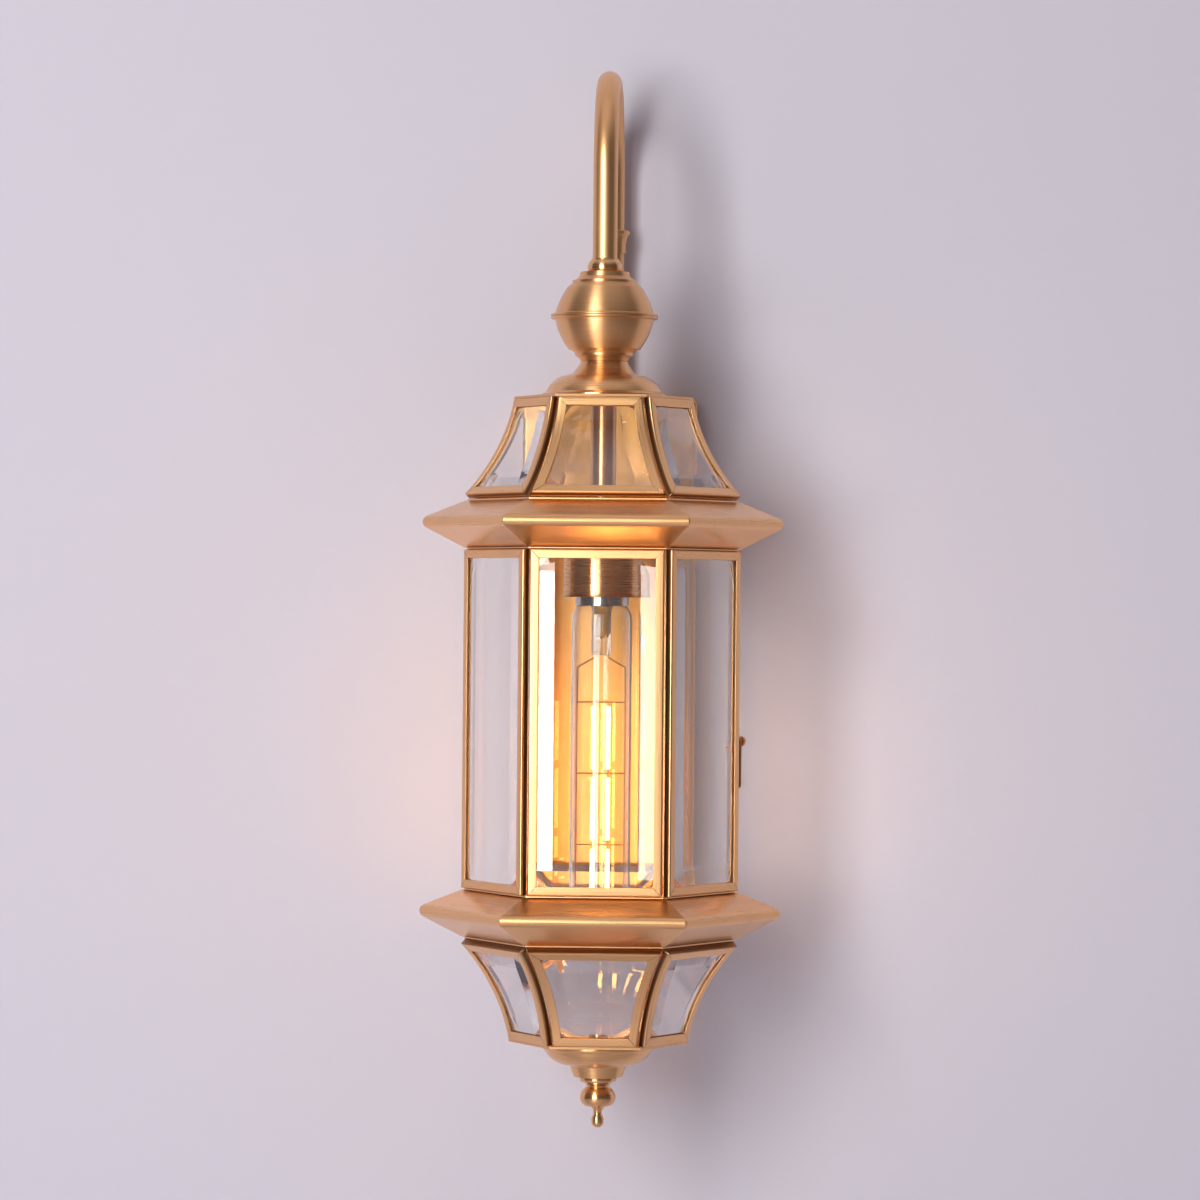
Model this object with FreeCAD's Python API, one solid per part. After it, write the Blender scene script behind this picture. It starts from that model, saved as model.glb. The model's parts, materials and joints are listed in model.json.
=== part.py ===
import FreeCAD, Part
import math
import os

from FreeCAD import Vector

# Outdoor wall light: hexagonal glazed lantern hung from a crook arm on a wall box.
# Millimetres, +Z up, the wall is the plane Y = 0 and the light stands in front of it at -Y.
# The origin is the centre of the back face of the wall strap.

# Wall box and strap
BOX_WIDTH = 88.0
BOX_HEIGHT = 236.0
BOX_DEPTH = 26.0
BOX_WALL = 1.2
BOX_FOLD_RADIUS = 2.2
STRAP_WIDTH = 20.0
STRAP_THICKNESS = 2.0
STRAP_EAR_DEPTH = 7.4
WALL_SCREW_PITCH = 140.0
WALL_SCREW_HOLE = 5.2
BOX_SCREW_DIAMETER = 3.0
BOX_SCREW_LENGTH = 6.0
BOX_SCREW_HEAD = 5.2
BOX_SCREW_HEAD_HEIGHT = 1.6
BOX_SCREW_FROM_WALL = 4.0

# Crook arm
ARM_FROM_WALL = 14.0
ARM_REACH = 94.0
ARM_TUBE = 12.0
ARM_TUBE_WALL = 1.0
ARM_APEX = 274.2
ARM_INTO_BOX = 8.0
COUPLING_DROP = 23.0
COUPLING_HEIGHT = 11.5
COUPLING_RADIUS = 8.5
COUPLING_FOOT_RADIUS = 7.0
COUPLING_RIM = 2.0
COUPLING_RIM_STEP = 0.7
COUPLING_FLARE = 0.5
COUPLING_ROLL = 0.4
COLLAR_HEIGHT = 6.6
COLLAR_FOOT_RADIUS = 7.9
COLLAR_NECK_RADIUS = 6.9
COLLAR_NECK = 0.8
COLLAR_BEAD = 1.1
COLLAR_EDGE = 0.5
BORE_CLEARANCE = 0.1

# Spun ball: each half is a bowl with a rolled rim and stepped fillets at its narrow end
BALL_UPPER_HEIGHT = 21.8
BALL_LOWER_HEIGHT = 21.8
BALL_RIM_RADIUS = 26.3
BALL_RIM_HALF = 1.2
BALL_RIM_ROLL = 0.6
BALL_RIM_FILLET = 0.4
BALL_EDGE_RADIUS = 24.2
BALL_UPPER_BULGE = 0.6
BALL_LOWER_BULGE = 0.9
BALL_SHOULDER_RADIUS = 18.4
BALL_SHOULDER_DROP = 7.6
BALL_STEP_RADIUS = 15.9
BALL_STEP_DROP = 5.4
BALL_STEP_HEIGHT = 1.2
BALL_CROWN_RADIUS = 12.0
BALL_CROWN_DROP = 2.2
BALL_HIP_RADIUS = 17.6
BALL_HIP_RISE = 5.8
BALL_BEAD_RADIUS = 14.3
BALL_BEAD_RISE = 2.6
BALL_BEAD_HEIGHT = 0.9
BALL_FOOT_RADIUS = 11.8
BALL_FOOT_ROLL = 1.0
BALL_COVE = 0.5
SPUN_WALL = 1.2

# Spun bell cap
BELL_HEIGHT = 17.6
BELL_BRIM_RADIUS = 31.0
BELL_BRIM_HEIGHT = 1.0
BELL_COVE = 1.4
BELL_DOME_RADIUS = 28.6
BELL_DOME_BULGE = 1.1
BELL_CROWN_RADIUS = 20.8
BELL_CROWN_DROP = 7.5
BELL_WAIST_RADIUS = 16.2
BELL_WAIST_DROP = 6.4
BELL_NECK_RADIUS = 11.4
BELL_NECK_CURVE = 0.5

# Glazed panels
ROOM_APOTHEM = 60.0
TIP_APOTHEM = 39.3
BODY_HEIGHT = 165.8
BODY_MIDDLE = -42.7
TIER_HEIGHT = 46.6
TIER_SAG = 3.3
FRAME_DEPTH = 4.0
FRAME_FACE = 4.3
FRAME_SHEET = 0.6
PANEL_GAP = 0.2
DOOR_CLEARANCE = 0.4
PANE_THICKNESS = 3.4
PANE_EDGE = 2.0
PANE_BEVEL = 9.0
PANE_ENGAGE = 1.4
PANE_BACK_GAP = 0.1
PANE_STEPS = 5

# Cornices
CORNICE_HEIGHT = 23.1
CORNICE_NOSE = 77.5
CORNICE_NOSE_RADIUS = 3.4
CORNICE_NOSE_DROP = 10.2
CORNICE_SHEET = 0.9
CORNICE_LIP = 0.9
CORNICE_LIP_SET = 1.2
CORNICE_FLANGE = 9.0

# Plates, dish and finial
PLATE_SHEET = 1.2
DISH_RADIUS = 27.8
DISH_HEIGHT = 16.6
DISH_BRIM = 1.4
DISH_BRIM_ROLL = 0.3
DISH_BRIM_SET = 1.1
DISH_BRIM_FILLET = 1.9
DISH_BOWL_DEPTH = 10.8
DISH_BOWL_BULGE = 2.1
DISH_STEP_RADIUS = 13.8
DISH_STEP = 0.6
DISH_FOOT_RADIUS = 12.1
FINIAL_HEIGHT = 25.0
FINIAL_RING_RADIUS = 8.5
FINIAL_RING_HEIGHT = 2.4
FINIAL_COLLAR_RADIUS = 6.8
FINIAL_COLLAR_HEIGHT = 0.9
FINIAL_NECK_RADIUS = 5.4
FINIAL_NECK_HEIGHT = 1.8
FINIAL_BALL_RADIUS = 8.8
FINIAL_BALL_UPPER = 5.0
FINIAL_BALL_LOWER = 4.2
FINIAL_BALL_FOOT = 6.2
FINIAL_WAIST_RADIUS = 2.1
FINIAL_WAIST_HEIGHT = 4.4
FINIAL_TIP_RADIUS = 3.0
FINIAL_TIP_HEIGHT = 3.0
FINIAL_STUD = 9.2
FINIAL_STUD_SHOWN = 2.6
NUT_FLATS = 13.0
NUT_HEIGHT = 2.6
WASHER_DIAMETER = 15.0
WASHER_THICKNESS = 0.8

# Lampholder and lamp
CENTRE_TUBE = 12.6
CENTRE_TUBE_WALL = 1.2
SPIGOT_DIAMETER = 9.6
SPIGOT_LENGTH = 15.0
CUP_BOTTOM = 17.4
CUP_HEIGHT = 36.6
CUP_RADIUS = 18.7
CUP_LIP = 0.6
CUP_LIP_HEIGHT = 3.0
CUP_LIP_CURVE = 0.2
CUP_ROLL = 3.0
CUP_ROLL_BULGE = 0.9
CUP_WALL = 1.0
HOLDER_WALL = 3.4
HOLDER_HEIGHT = 32.0
HOLDER_AIR = 0.3
HOLDER_TOP_AIR = 1.0
HOLDER_CHAMFER = 4.0
CAP_RADIUS = 13.2
CAP_HEIGHT = 27.0
CAP_SHOWN = 4.2
CAP_AIR = 0.6
CAP_CONE = 4.0
CAP_CONTACT = 2.0
CAP_SKIRT = 4.0
CAP_SKIRT_AIR = 0.1
BULB_RADIUS = 15.0
BULB_LENGTH = 162.0
BULB_SHOULDER = 7.0
BULB_SHOULDER_CURVE = 0.8
BULB_NECK_INSET = 2.9
BULB_INTO_CAP = 3.8
BULB_WALL = 1.0
STEM_RADIUS = 4.9
STEM_WALL = 1.1
STEM_FLARE = 2.0
STEM_FLARE_LENGTH = 8.0
STEM_LENGTH = 24.2
STEM_PRESS = 8.0
STEM_TIP = 2.6
FILAMENT_TIERS = 3
FILAMENT_LENGTH = 30.4
FILAMENT_PITCH = 34.9
FILAMENT_DROP = 23.0
FILAMENT_RADIUS = 0.9
FILAMENT_SPREAD = 3.7
LEAD_SPREAD = 11.8
LEAD_ROOT = 3.2
LEAD_SEALED = 3.0
LEAD_SHOULDER = 6.0
LEAD_RADIUS = 0.35
LEAD_SEAL_GAP = 0.05

# Door hinge and latch
HINGE_BARREL = 3.6
HINGE_PIN = 2.0
HINGE_BORE_GAP = 0.05
HINGE_KNUCKLE = 5.0
HINGE_KNUCKLE_GAP = 0.3
HINGE_OFFSET = 52.0
HINGE_TAB = 1.4
HINGE_HEAD = 3.2
HINGE_HEAD_HEIGHT = 0.8
LATCH_HEIGHT = -52.7
LATCH_INSET = 1.75
LATCH_SPINDLE = 1.8
LATCH_SPINDLE_GAP = 0.07
LATCH_KNOB_RADIUS = 2.5
LATCH_KNOB_HEIGHT = 3.2
LATCH_KNOB_SEAT = 0.6
LATCH_LEVER_LENGTH = 23.0
LATCH_LEVER_WIDTH = 3.4
LATCH_STRIP = 0.8
LATCH_AIR = 0.4
LATCH_TONGUE_WIDTH = 2.0
LATCH_TONGUE_LENGTH = 4.0

# Levels and sizes that follow from those above
TAN30 = math.tan(math.radians(30.0))
SIN60 = math.sin(math.radians(60.0))
COS60 = math.cos(math.radians(60.0))
TOUCH = 0.01
CUT_MARGIN = 1.0
BODY_TOP = BODY_MIDDLE + BODY_HEIGHT / 2.0
BODY_FOOT = BODY_MIDDLE - BODY_HEIGHT / 2.0
CORNICE_STEP = CORNICE_HEIGHT + 2.0 * CORNICE_LIP
TIER_RUN = ROOM_APOTHEM - TIP_APOTHEM
TIER_CHORD = math.hypot(TIER_RUN, TIER_HEIGHT)
TIER_RADIUS = TIER_CHORD * TIER_CHORD / (8.0 * TIER_SAG) + TIER_SAG / 2.0
TIER_LEAN = math.atan2(TIER_RUN, TIER_HEIGHT) + math.asin(TIER_CHORD / 2.0 / TIER_RADIUS)
TIER_LIFT = FRAME_DEPTH * math.sin(TIER_LEAN)
ROOF_FOOT = BODY_TOP + CORNICE_STEP
ROOF_TOP = ROOF_FOOT + TIER_LIFT + TIER_HEIGHT
BASE_TOP = BODY_FOOT - CORNICE_STEP
BASE_FOOT = BASE_TOP - TIER_LIFT - TIER_HEIGHT
BELL_FOOT = ROOF_TOP + PLATE_SHEET
BALL_FOOT = BELL_FOOT + BELL_HEIGHT
BALL_MIDDLE = BALL_FOOT + BALL_LOWER_HEIGHT
BALL_TOP = BALL_MIDDLE + BALL_UPPER_HEIGHT
DISH_TOP = BASE_FOOT - PLATE_SHEET
FINIAL_TOP = DISH_TOP - DISH_HEIGHT
LAMP_SEAT = CUP_BOTTOM - CAP_SHOWN
INNER_APOTHEM = ROOM_APOTHEM - FRAME_DEPTH
BULB_THROAT = BULB_RADIUS - BULB_NECK_INSET
LEAD_BORE = LEAD_RADIUS + LEAD_SEAL_GAP
ARM_RADIUS = ARM_TUBE / 2.0
ARM_BORE = ARM_RADIUS + BORE_CLEARANCE
ARM_BEND = ARM_REACH / 2.0
ARM_SPRING = ARM_APEX - ARM_BEND
AXIS_TO_WALL = ARM_FROM_WALL + ARM_REACH
COUPLING_TOP = ARM_SPRING - COUPLING_DROP
STEM_END = LAMP_SEAT - STEM_LENGTH
FILAMENT_TOP = STEM_END - FILAMENT_DROP

FACES = ("front", "front_right", "rear_right", "rear", "rear_left", "front_left")
DOOR_FACE = "rear_right"
HINGE_FACE = "rear"


def turned(outline):
    """Solid of revolution about Z from points (radius, z) or (radius, z, sag) in a closed ring.

    A sag bows the stretch that ends at its point: positive to the right of the way it runs.
    """
    edges = []
    count = len(outline)
    for index in range(count):
        start = Vector(outline[index - 1][0], 0.0, outline[index - 1][1])
        end = Vector(outline[index][0], 0.0, outline[index][1])
        sag = outline[index][2] if len(outline[index]) > 2 else 0.0
        if sag:
            along = end.sub(start)
            across = Vector(along.z, 0.0, -along.x)
            across.normalize()
            middle = start.add(end).multiply(0.5).add(across.multiply(sag))
            edges.append(Part.Arc(start, middle, end).toShape())
        else:
            edges.append(Part.makeLine(start, end))
    face = Part.Face(Part.Wire(edges))
    return face.revolve(Vector(0, 0, 0), Vector(0, 0, 1), 360.0)


def hex_prism(apothem, foot, height):
    """Hexagonal prism about Z with a flat side towards the front."""
    radius = apothem / math.cos(math.radians(30.0))
    points = []
    for corner in range(7):
        angle = math.radians(60.0 * corner)
        points.append(Vector(radius * math.cos(angle), radius * math.sin(angle), foot))
    return Part.Face(Part.makePolygon(points)).extrude(Vector(0, 0, height))


def turn_to_face(shape, face):
    """Copy of a front-facing panel piece turned to one of the six faces."""
    copy = shape.copy()
    copy.rotate(Vector(0, 0, 0), Vector(0, 0, 1), 60.0 * FACES.index(face))
    return copy


class Tier:
    """One storey of panels, drawn facing the front with its wide edge at the foot.

    A storey with a sag is hollow outside: its panels are bent about a level line. Places on a
    panel are given as the way along its outer skin from the foot and the depth below that skin.
    """

    def __init__(self, seat, height, wide, narrow, sag):
        self.wide = wide
        self.sag = sag
        self.foot = seat
        self.length = height
        if sag:
            run = wide - narrow
            chord = math.hypot(run, height)
            self.radius = chord * chord / (8.0 * sag) + sag / 2.0
            lean = math.atan2(run, height)
            spread = math.asin(chord / 2.0 / self.radius)
            self.foot_lean = lean + spread
            self.length = 2.0 * spread * self.radius
            self.foot = seat + FRAME_DEPTH * math.sin(self.foot_lean)
            self.centre_out = wide + self.radius * math.cos(self.foot_lean)
            self.centre_up = self.foot + self.radius * math.sin(self.foot_lean)

    def spot(self, along, depth):
        """Distance from the axis and level of a place on the panel."""
        if not self.sag:
            return self.wide - depth, self.foot + along
        lean = self.foot_lean - along / self.radius
        reach = self.radius + depth
        return self.centre_out - reach * math.cos(lean), self.centre_up - reach * math.sin(lean)

    def apothem(self, z, depth):
        """Distance of the panel from the axis at a level, a depth below its outer skin."""
        if not self.sag:
            return self.wide - depth
        rise = self.centre_up - z
        return self.centre_out - math.sqrt((self.radius + depth) ** 2 - rise * rise)

    def half_width(self, z):
        """Half the panel's width at a level, where its inner edge meets its neighbour's."""
        return self.apothem(z, FRAME_DEPTH) * TAN30 - PANEL_GAP / 2.0

    def stretch(self, start, end, depth):
        """Edge along the panel at one depth, in the plane across the front."""
        places = [self.spot(along, depth) for along in (start, (start + end) / 2.0, end)]
        points = [Vector(0, -out, z) for out, z in places]
        if self.sag:
            return Part.Arc(*points).toShape()
        return Part.makeLine(points[0], points[2])

    def slab(self, near, far, start, end):
        """Wide slab between two depths, its ends square to the skin."""
        outer = self.stretch(start, end, near)
        inner = self.stretch(start, end, far)
        foot = Part.makeLine(inner.Vertexes[0].Point, outer.Vertexes[0].Point)
        head = Part.makeLine(outer.Vertexes[1].Point, inner.Vertexes[1].Point)
        section = Part.Face(Part.Wire(Part.__sortEdges__([outer, head, inner, foot])))
        section.translate(Vector(-self.wide, 0, 0))
        return section.extrude(Vector(2.0 * self.wide, 0, 0))

    def block(self, inset, near, far, start, end):
        """Panel-shaped solid between two depths, inset at its sides."""
        levels = [self.spot(along, depth)[1] for along in (start, end) for depth in (near, far)]
        low, high = min(levels), max(levels)
        side = [Vector(self.half_width(z) - inset, 0, z) for z in (low, (low + high) / 2.0, high)]
        mirror = [Vector(-p.x, 0, p.z) for p in side]
        if self.sag:
            right = Part.Arc(*side).toShape()
            left = Part.Arc(*mirror).toShape()
        else:
            right = Part.makeLine(side[0], side[2])
            left = Part.makeLine(mirror[0], mirror[2])
        top = Part.makeLine(side[2], mirror[2])
        foot = Part.makeLine(mirror[0], side[0])
        outline = Part.Face(Part.Wire([foot, right, top, left]))
        outline.translate(Vector(0, -2.0 * self.wide, 0))
        return outline.extrude(Vector(0, 2.0 * self.wide, 0)).common(self.slab(near, far, start, end))

    def frame(self, trim=0.0):
        """Folded channel frame: a skin with a window and a groove for the pane."""
        end = self.length - trim
        body = self.block(trim, 0.0, FRAME_DEPTH, trim, end)
        window = self.block(trim + FRAME_FACE, -FRAME_DEPTH, 2.0 * FRAME_DEPTH,
                            trim + FRAME_FACE, end - FRAME_FACE)
        groove = self.block(trim + FRAME_SHEET, FRAME_SHEET, FRAME_DEPTH - FRAME_SHEET,
                            trim + FRAME_SHEET, end - FRAME_SHEET)
        return body.cut(groove).cut(window)

    def pane_section(self, along, inset, thickness):
        """Section of a pane square to its skin: a flat back and a front bevelled at both sides."""
        back = FRAME_DEPTH - FRAME_SHEET - PANE_BACK_GAP
        half = self.half_width(self.spot(along, back)[1]) - inset
        flat = half - PANE_BEVEL
        corners = [(-half, back), (half, back), (half, back - PANE_EDGE), (flat, back - thickness),
                   (-flat, back - thickness), (-half, back - PANE_EDGE), (-half, back)]
        points = []
        for x, depth in corners:
            out, z = self.spot(along, depth)
            points.append(Vector(x, -out, z))
        return Part.makePolygon(points)

    def pane(self, trim=0.0):
        """Glass pane with a wide bevel on all four edges of its outer side."""
        inset = trim + FRAME_FACE - PANE_ENGAGE
        end = self.length - inset
        first = inset + PANE_BEVEL
        last = end - PANE_BEVEL
        steps = PANE_STEPS if self.sag else 2
        places = [first + (last - first) * i / (steps - 1) for i in range(steps)]
        middle = [self.pane_section(along, inset, PANE_THICKNESS) for along in places]
        foot = self.pane_section(inset, inset, PANE_EDGE)
        head = self.pane_section(end, inset, PANE_EDGE)
        lower = Part.makeLoft([foot, middle[0]], True, True)
        body = Part.makeLoft(middle, True, not self.sag)
        upper = Part.makeLoft([middle[-1], head], True, True)
        return lower.multiFuse([body, upper]).removeSplitter()


def upside_down(shape, level):
    """Mirror image of a shape in a level plane."""
    return shape.mirror(Vector(0, 0, level), Vector(0, 0, 1))


def cornice(foot):
    """Hollow pointed ring: six lengths of folded sheet, mitred at the corners."""
    low = foot + CORNICE_LIP
    high = low + CORNICE_HEIGHT
    nose = high - CORNICE_NOSE_DROP
    root = ROOM_APOTHEM - CORNICE_LIP_SET
    run = CORNICE_NOSE - root
    upper = math.atan2(CORNICE_NOSE_DROP, run)
    lower = math.atan2(CORNICE_HEIGHT - CORNICE_NOSE_DROP, run)
    half = (upper + lower) / 2.0
    sharp = CORNICE_NOSE + CORNICE_NOSE_RADIUS * (1.0 / math.sin(half) - 1.0)
    width = 2.0 * CORNICE_NOSE

    def bar(inset):
        """Long pointed bar with a rounded nose, inset from the outer sheet."""
        edge = root - inset
        point = sharp - inset / math.sin(half)
        outline = [Vector(0, -edge, low + inset), Vector(0, -point, nose),
                   Vector(0, -edge, high - inset), Vector(0, -edge + CORNICE_FLANGE, high - inset),
                   Vector(0, -edge + CORNICE_FLANGE, low + inset), Vector(0, -edge, low + inset)]
        solid = Part.Face(Part.makePolygon(outline)).extrude(Vector(width, 0, 0))
        solid.translate(Vector(-width / 2.0, inset, 0))
        tip = [line for line in solid.Edges
               if abs(line.CenterOfMass.y + point - inset) < TOUCH and line.Length > CORNICE_NOSE]
        return solid.makeFillet(CORNICE_NOSE_RADIUS - inset, tip)

    solid = bar(0.0).cut(bar(CORNICE_SHEET))
    for level in (foot, high):
        lip = Part.makeBox(width, CORNICE_FLANGE - CORNICE_LIP_SET, CORNICE_LIP,
                           Vector(-width / 2.0, -root + CORNICE_LIP_SET, level))
        solid = solid.fuse(lip)
    start = foot - CUT_MARGIN
    wedge = Part.makePolygon([Vector(0, 0, start), Vector(-width * TAN30, -width, start),
                              Vector(width * TAN30, -width, start), Vector(0, 0, start)])
    sector = solid.common(Part.Face(wedge).extrude(Vector(0, 0, CORNICE_STEP + 2.0 * CUT_MARGIN)))
    sectors = [turn_to_face(sector, face) for face in FACES]
    return sectors[0].multiFuse(sectors[1:]).removeSplitter()


def hinge_knuckles(side):
    """Barrels and tabs of both hinges, for the door (side 'door') or the fixed frame ('fixed').

    Drawn at the hinge line of the door as it faces the front: the door's edge is on the left.
    """
    radius = HINGE_BARREL / 2.0
    corner = Vector(ROOM_APOTHEM * TAN30, -ROOM_APOTHEM, 0.0)
    flank = INNER_APOTHEM * TAN30 - DOOR_CLEARANCE - PANEL_GAP
    pitch = HINGE_KNUCKLE + HINGE_KNUCKLE_GAP
    shapes = []
    for middle in (BODY_MIDDLE + HINGE_OFFSET, BODY_MIDDLE - HINGE_OFFSET):
        for slot in ((0,) if side == "door" else (-1, 1)):
            foot = middle + slot * pitch - HINGE_KNUCKLE / 2.0
            base = Vector(corner.x, corner.y, foot)
            barrel = Part.makeCylinder(radius, HINGE_KNUCKLE, base)
            tab = Part.makeBox(corner.x - flank, HINGE_TAB, HINGE_KNUCKLE,
                               Vector(flank, corner.y, foot))
            if side == "fixed":
                tab = tab.mirror(Vector(0, 0, 0), Vector(1, 0, 0))
                tab.rotate(Vector(0, 0, 0), Vector(0, 0, 1), 60.0)
            bore = Part.makeCylinder(HINGE_PIN / 2.0 + HINGE_BORE_GAP, HINGE_KNUCKLE, base)
            shapes.append(barrel.fuse(tab).cut(bore))
    return shapes


def hinge_pins():
    """Two headed pins, one for each hinge, at the hinge line of the front-facing door."""
    reach = 3.0 * HINGE_KNUCKLE + 2.0 * HINGE_KNUCKLE_GAP
    pins = []
    for middle in (BODY_MIDDLE + HINGE_OFFSET, BODY_MIDDLE - HINGE_OFFSET):
        foot = Vector(ROOM_APOTHEM * TAN30, -ROOM_APOTHEM, middle - reach / 2.0)
        pin = Part.makeCylinder(HINGE_PIN / 2.0, reach, foot)
        seat = foot.add(Vector(0, 0, reach))
        head = Part.makeCylinder(HINGE_HEAD / 2.0, HINGE_HEAD_HEIGHT, seat)
        pins.append(pin.fuse(head))
    return pins


def latch_x():
    """Place of the latch spindle across the front-facing door: its left stile."""
    return -(INNER_APOTHEM * TAN30 - DOOR_CLEARANCE - LATCH_INSET)


def latch():
    """Knob, lever, spindle and bent inner tongue of the turn latch, lever hanging down."""
    x = latch_x()
    skin = -ROOM_APOTHEM
    inside = -INNER_APOTHEM
    out = Vector(0, -1, 0)
    lever_back = skin - LATCH_AIR
    lever_front = lever_back - LATCH_STRIP
    tongue_front = inside + LATCH_AIR
    tongue_back = tongue_front + LATCH_STRIP
    spindle = Part.makeCylinder(LATCH_SPINDLE / 2.0, tongue_back - lever_front,
                                Vector(x, tongue_back, LATCH_HEIGHT), out)
    neck = Part.makeCylinder(LATCH_SPINDLE / 2.0, LATCH_KNOB_HEIGHT / 2.0,
                             Vector(x, lever_front, LATCH_HEIGHT), out)
    half = LATCH_LEVER_WIDTH / 2.0
    arm = Part.makeBox(LATCH_LEVER_WIDTH, LATCH_STRIP, LATCH_LEVER_LENGTH - half,
                       Vector(x - half, lever_front, LATCH_HEIGHT - LATCH_LEVER_LENGTH + half))
    eye = Part.makeCylinder(half, LATCH_STRIP, Vector(x, lever_back, LATCH_HEIGHT), out)
    toe = Part.makeCylinder(half, LATCH_STRIP,
                            Vector(x, lever_back, LATCH_HEIGHT - LATCH_LEVER_LENGTH + half), out)
    knob = Part.makeSphere(LATCH_KNOB_RADIUS)
    knob.translate(Vector(x, lever_front - LATCH_KNOB_HEIGHT + LATCH_KNOB_RADIUS, LATCH_HEIGHT))
    wide = 4.0 * LATCH_KNOB_RADIUS
    corner = Vector(x - wide / 2.0, lever_front - LATCH_KNOB_SEAT, LATCH_HEIGHT - wide / 2.0)
    knob = knob.cut(Part.makeBox(wide, wide, wide, corner))
    head = LATCH_SPINDLE / 2.0
    run = INNER_APOTHEM * TAN30 - LATCH_AIR * 1.2 + x
    reach_in = LATCH_TONGUE_LENGTH * SIN60
    reach_down = run + LATCH_TONGUE_LENGTH * COS60
    points = [Vector(0, tongue_front, head), Vector(0, tongue_front, -run),
              Vector(0, tongue_front + reach_in, -reach_down),
              Vector(0, tongue_back + reach_in - LATCH_STRIP * COS60,
                     LATCH_STRIP * SIN60 - reach_down),
              Vector(0, tongue_back, LATCH_STRIP * TAN30 - run), Vector(0, tongue_back, head),
              Vector(0, tongue_front, head)]
    tongue = Part.Face(Part.makePolygon(points)).extrude(Vector(LATCH_TONGUE_WIDTH, 0, 0))
    tongue.translate(Vector(x - LATCH_TONGUE_WIDTH / 2.0, 0, LATCH_HEIGHT))
    return spindle.multiFuse([neck, arm, eye, toe, knob, tongue]).removeSplitter()


def latch_hole():
    """Clearance hole for the latch spindle through both flanges of the door's stile."""
    return Part.makeCylinder(LATCH_SPINDLE / 2.0 + LATCH_SPINDLE_GAP, 3.0 * FRAME_DEPTH,
                             Vector(latch_x(), -ROOM_APOTHEM - FRAME_DEPTH, LATCH_HEIGHT),
                             Vector(0, 1, 0))


def wall_box():
    """Shallow folded box, open at the back, with a hole for the arm in its top."""
    low = -BOX_HEIGHT / 2.0
    shell = Part.makeBox(BOX_WIDTH, BOX_DEPTH, BOX_HEIGHT, Vector(-BOX_WIDTH / 2.0, -BOX_DEPTH, low))
    rounded = [edge for edge in shell.Edges
               if edge.BoundBox.YMax < -BOX_DEPTH + TOUCH
               or (edge.BoundBox.ZLength < TOUCH and edge.BoundBox.XLength < TOUCH)]
    shell = shell.makeFillet(BOX_FOLD_RADIUS, rounded)
    inner_width = BOX_WIDTH - 2.0 * BOX_WALL
    inner_height = BOX_HEIGHT - 2.0 * BOX_WALL
    hollow = Part.makeBox(inner_width, BOX_DEPTH, inner_height,
                          Vector(-inner_width / 2.0, -BOX_DEPTH + BOX_WALL, -inner_height / 2.0))
    hole = Part.makeCylinder(ARM_BORE, 3.0 * BOX_WALL,
                             Vector(0, -ARM_FROM_WALL, -low - 2.0 * BOX_WALL))
    box = shell.cut(hollow).cut(hole)
    for level in (low - BOX_WALL, -low - 2.0 * BOX_WALL):
        box = box.cut(Part.makeCylinder(BOX_SCREW_DIAMETER / 2.0 + BORE_CLEARANCE, 3.0 * BOX_WALL,
                                        Vector(0, -BOX_SCREW_FROM_WALL, level)))
    return box


def wall_strap():
    """Flat strap for the wall with two screw holes and an ear folded forward at each end."""
    half = BOX_HEIGHT / 2.0 - BOX_WALL
    strap = Part.makeBox(STRAP_WIDTH, STRAP_THICKNESS, 2.0 * half,
                         Vector(-STRAP_WIDTH / 2.0, -STRAP_THICKNESS, -half))
    for level in (-half, half - STRAP_THICKNESS):
        ear = Part.makeBox(STRAP_WIDTH, STRAP_EAR_DEPTH, STRAP_THICKNESS,
                           Vector(-STRAP_WIDTH / 2.0, -STRAP_EAR_DEPTH, level))
        thread = Part.makeCylinder(BOX_SCREW_DIAMETER / 2.0 + BORE_CLEARANCE, 2.0 * STRAP_THICKNESS,
                                   Vector(0, -BOX_SCREW_FROM_WALL, level - STRAP_THICKNESS / 2.0))
        strap = strap.fuse(ear).cut(thread)
    for level in (-WALL_SCREW_PITCH / 2.0, WALL_SCREW_PITCH / 2.0):
        strap = strap.cut(Part.makeCylinder(WALL_SCREW_HOLE / 2.0, 3.0 * STRAP_THICKNESS,
                                            Vector(0, STRAP_THICKNESS, level), Vector(0, -1, 0)))
    return strap.removeSplitter()


def box_screws():
    """The two small screws that hold the box to the ears of the strap."""
    screws = []
    for way in (1.0, -1.0):
        seat = Vector(0, -BOX_SCREW_FROM_WALL, way * BOX_HEIGHT / 2.0)
        head = Part.makeCylinder(BOX_SCREW_HEAD / 2.0, BOX_SCREW_HEAD_HEIGHT, seat, Vector(0, 0, way))
        shank = Part.makeCylinder(BOX_SCREW_DIAMETER / 2.0, BOX_SCREW_LENGTH, seat, Vector(0, 0, -way))
        screws.append(head.fuse(shank))
    return screws


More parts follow.
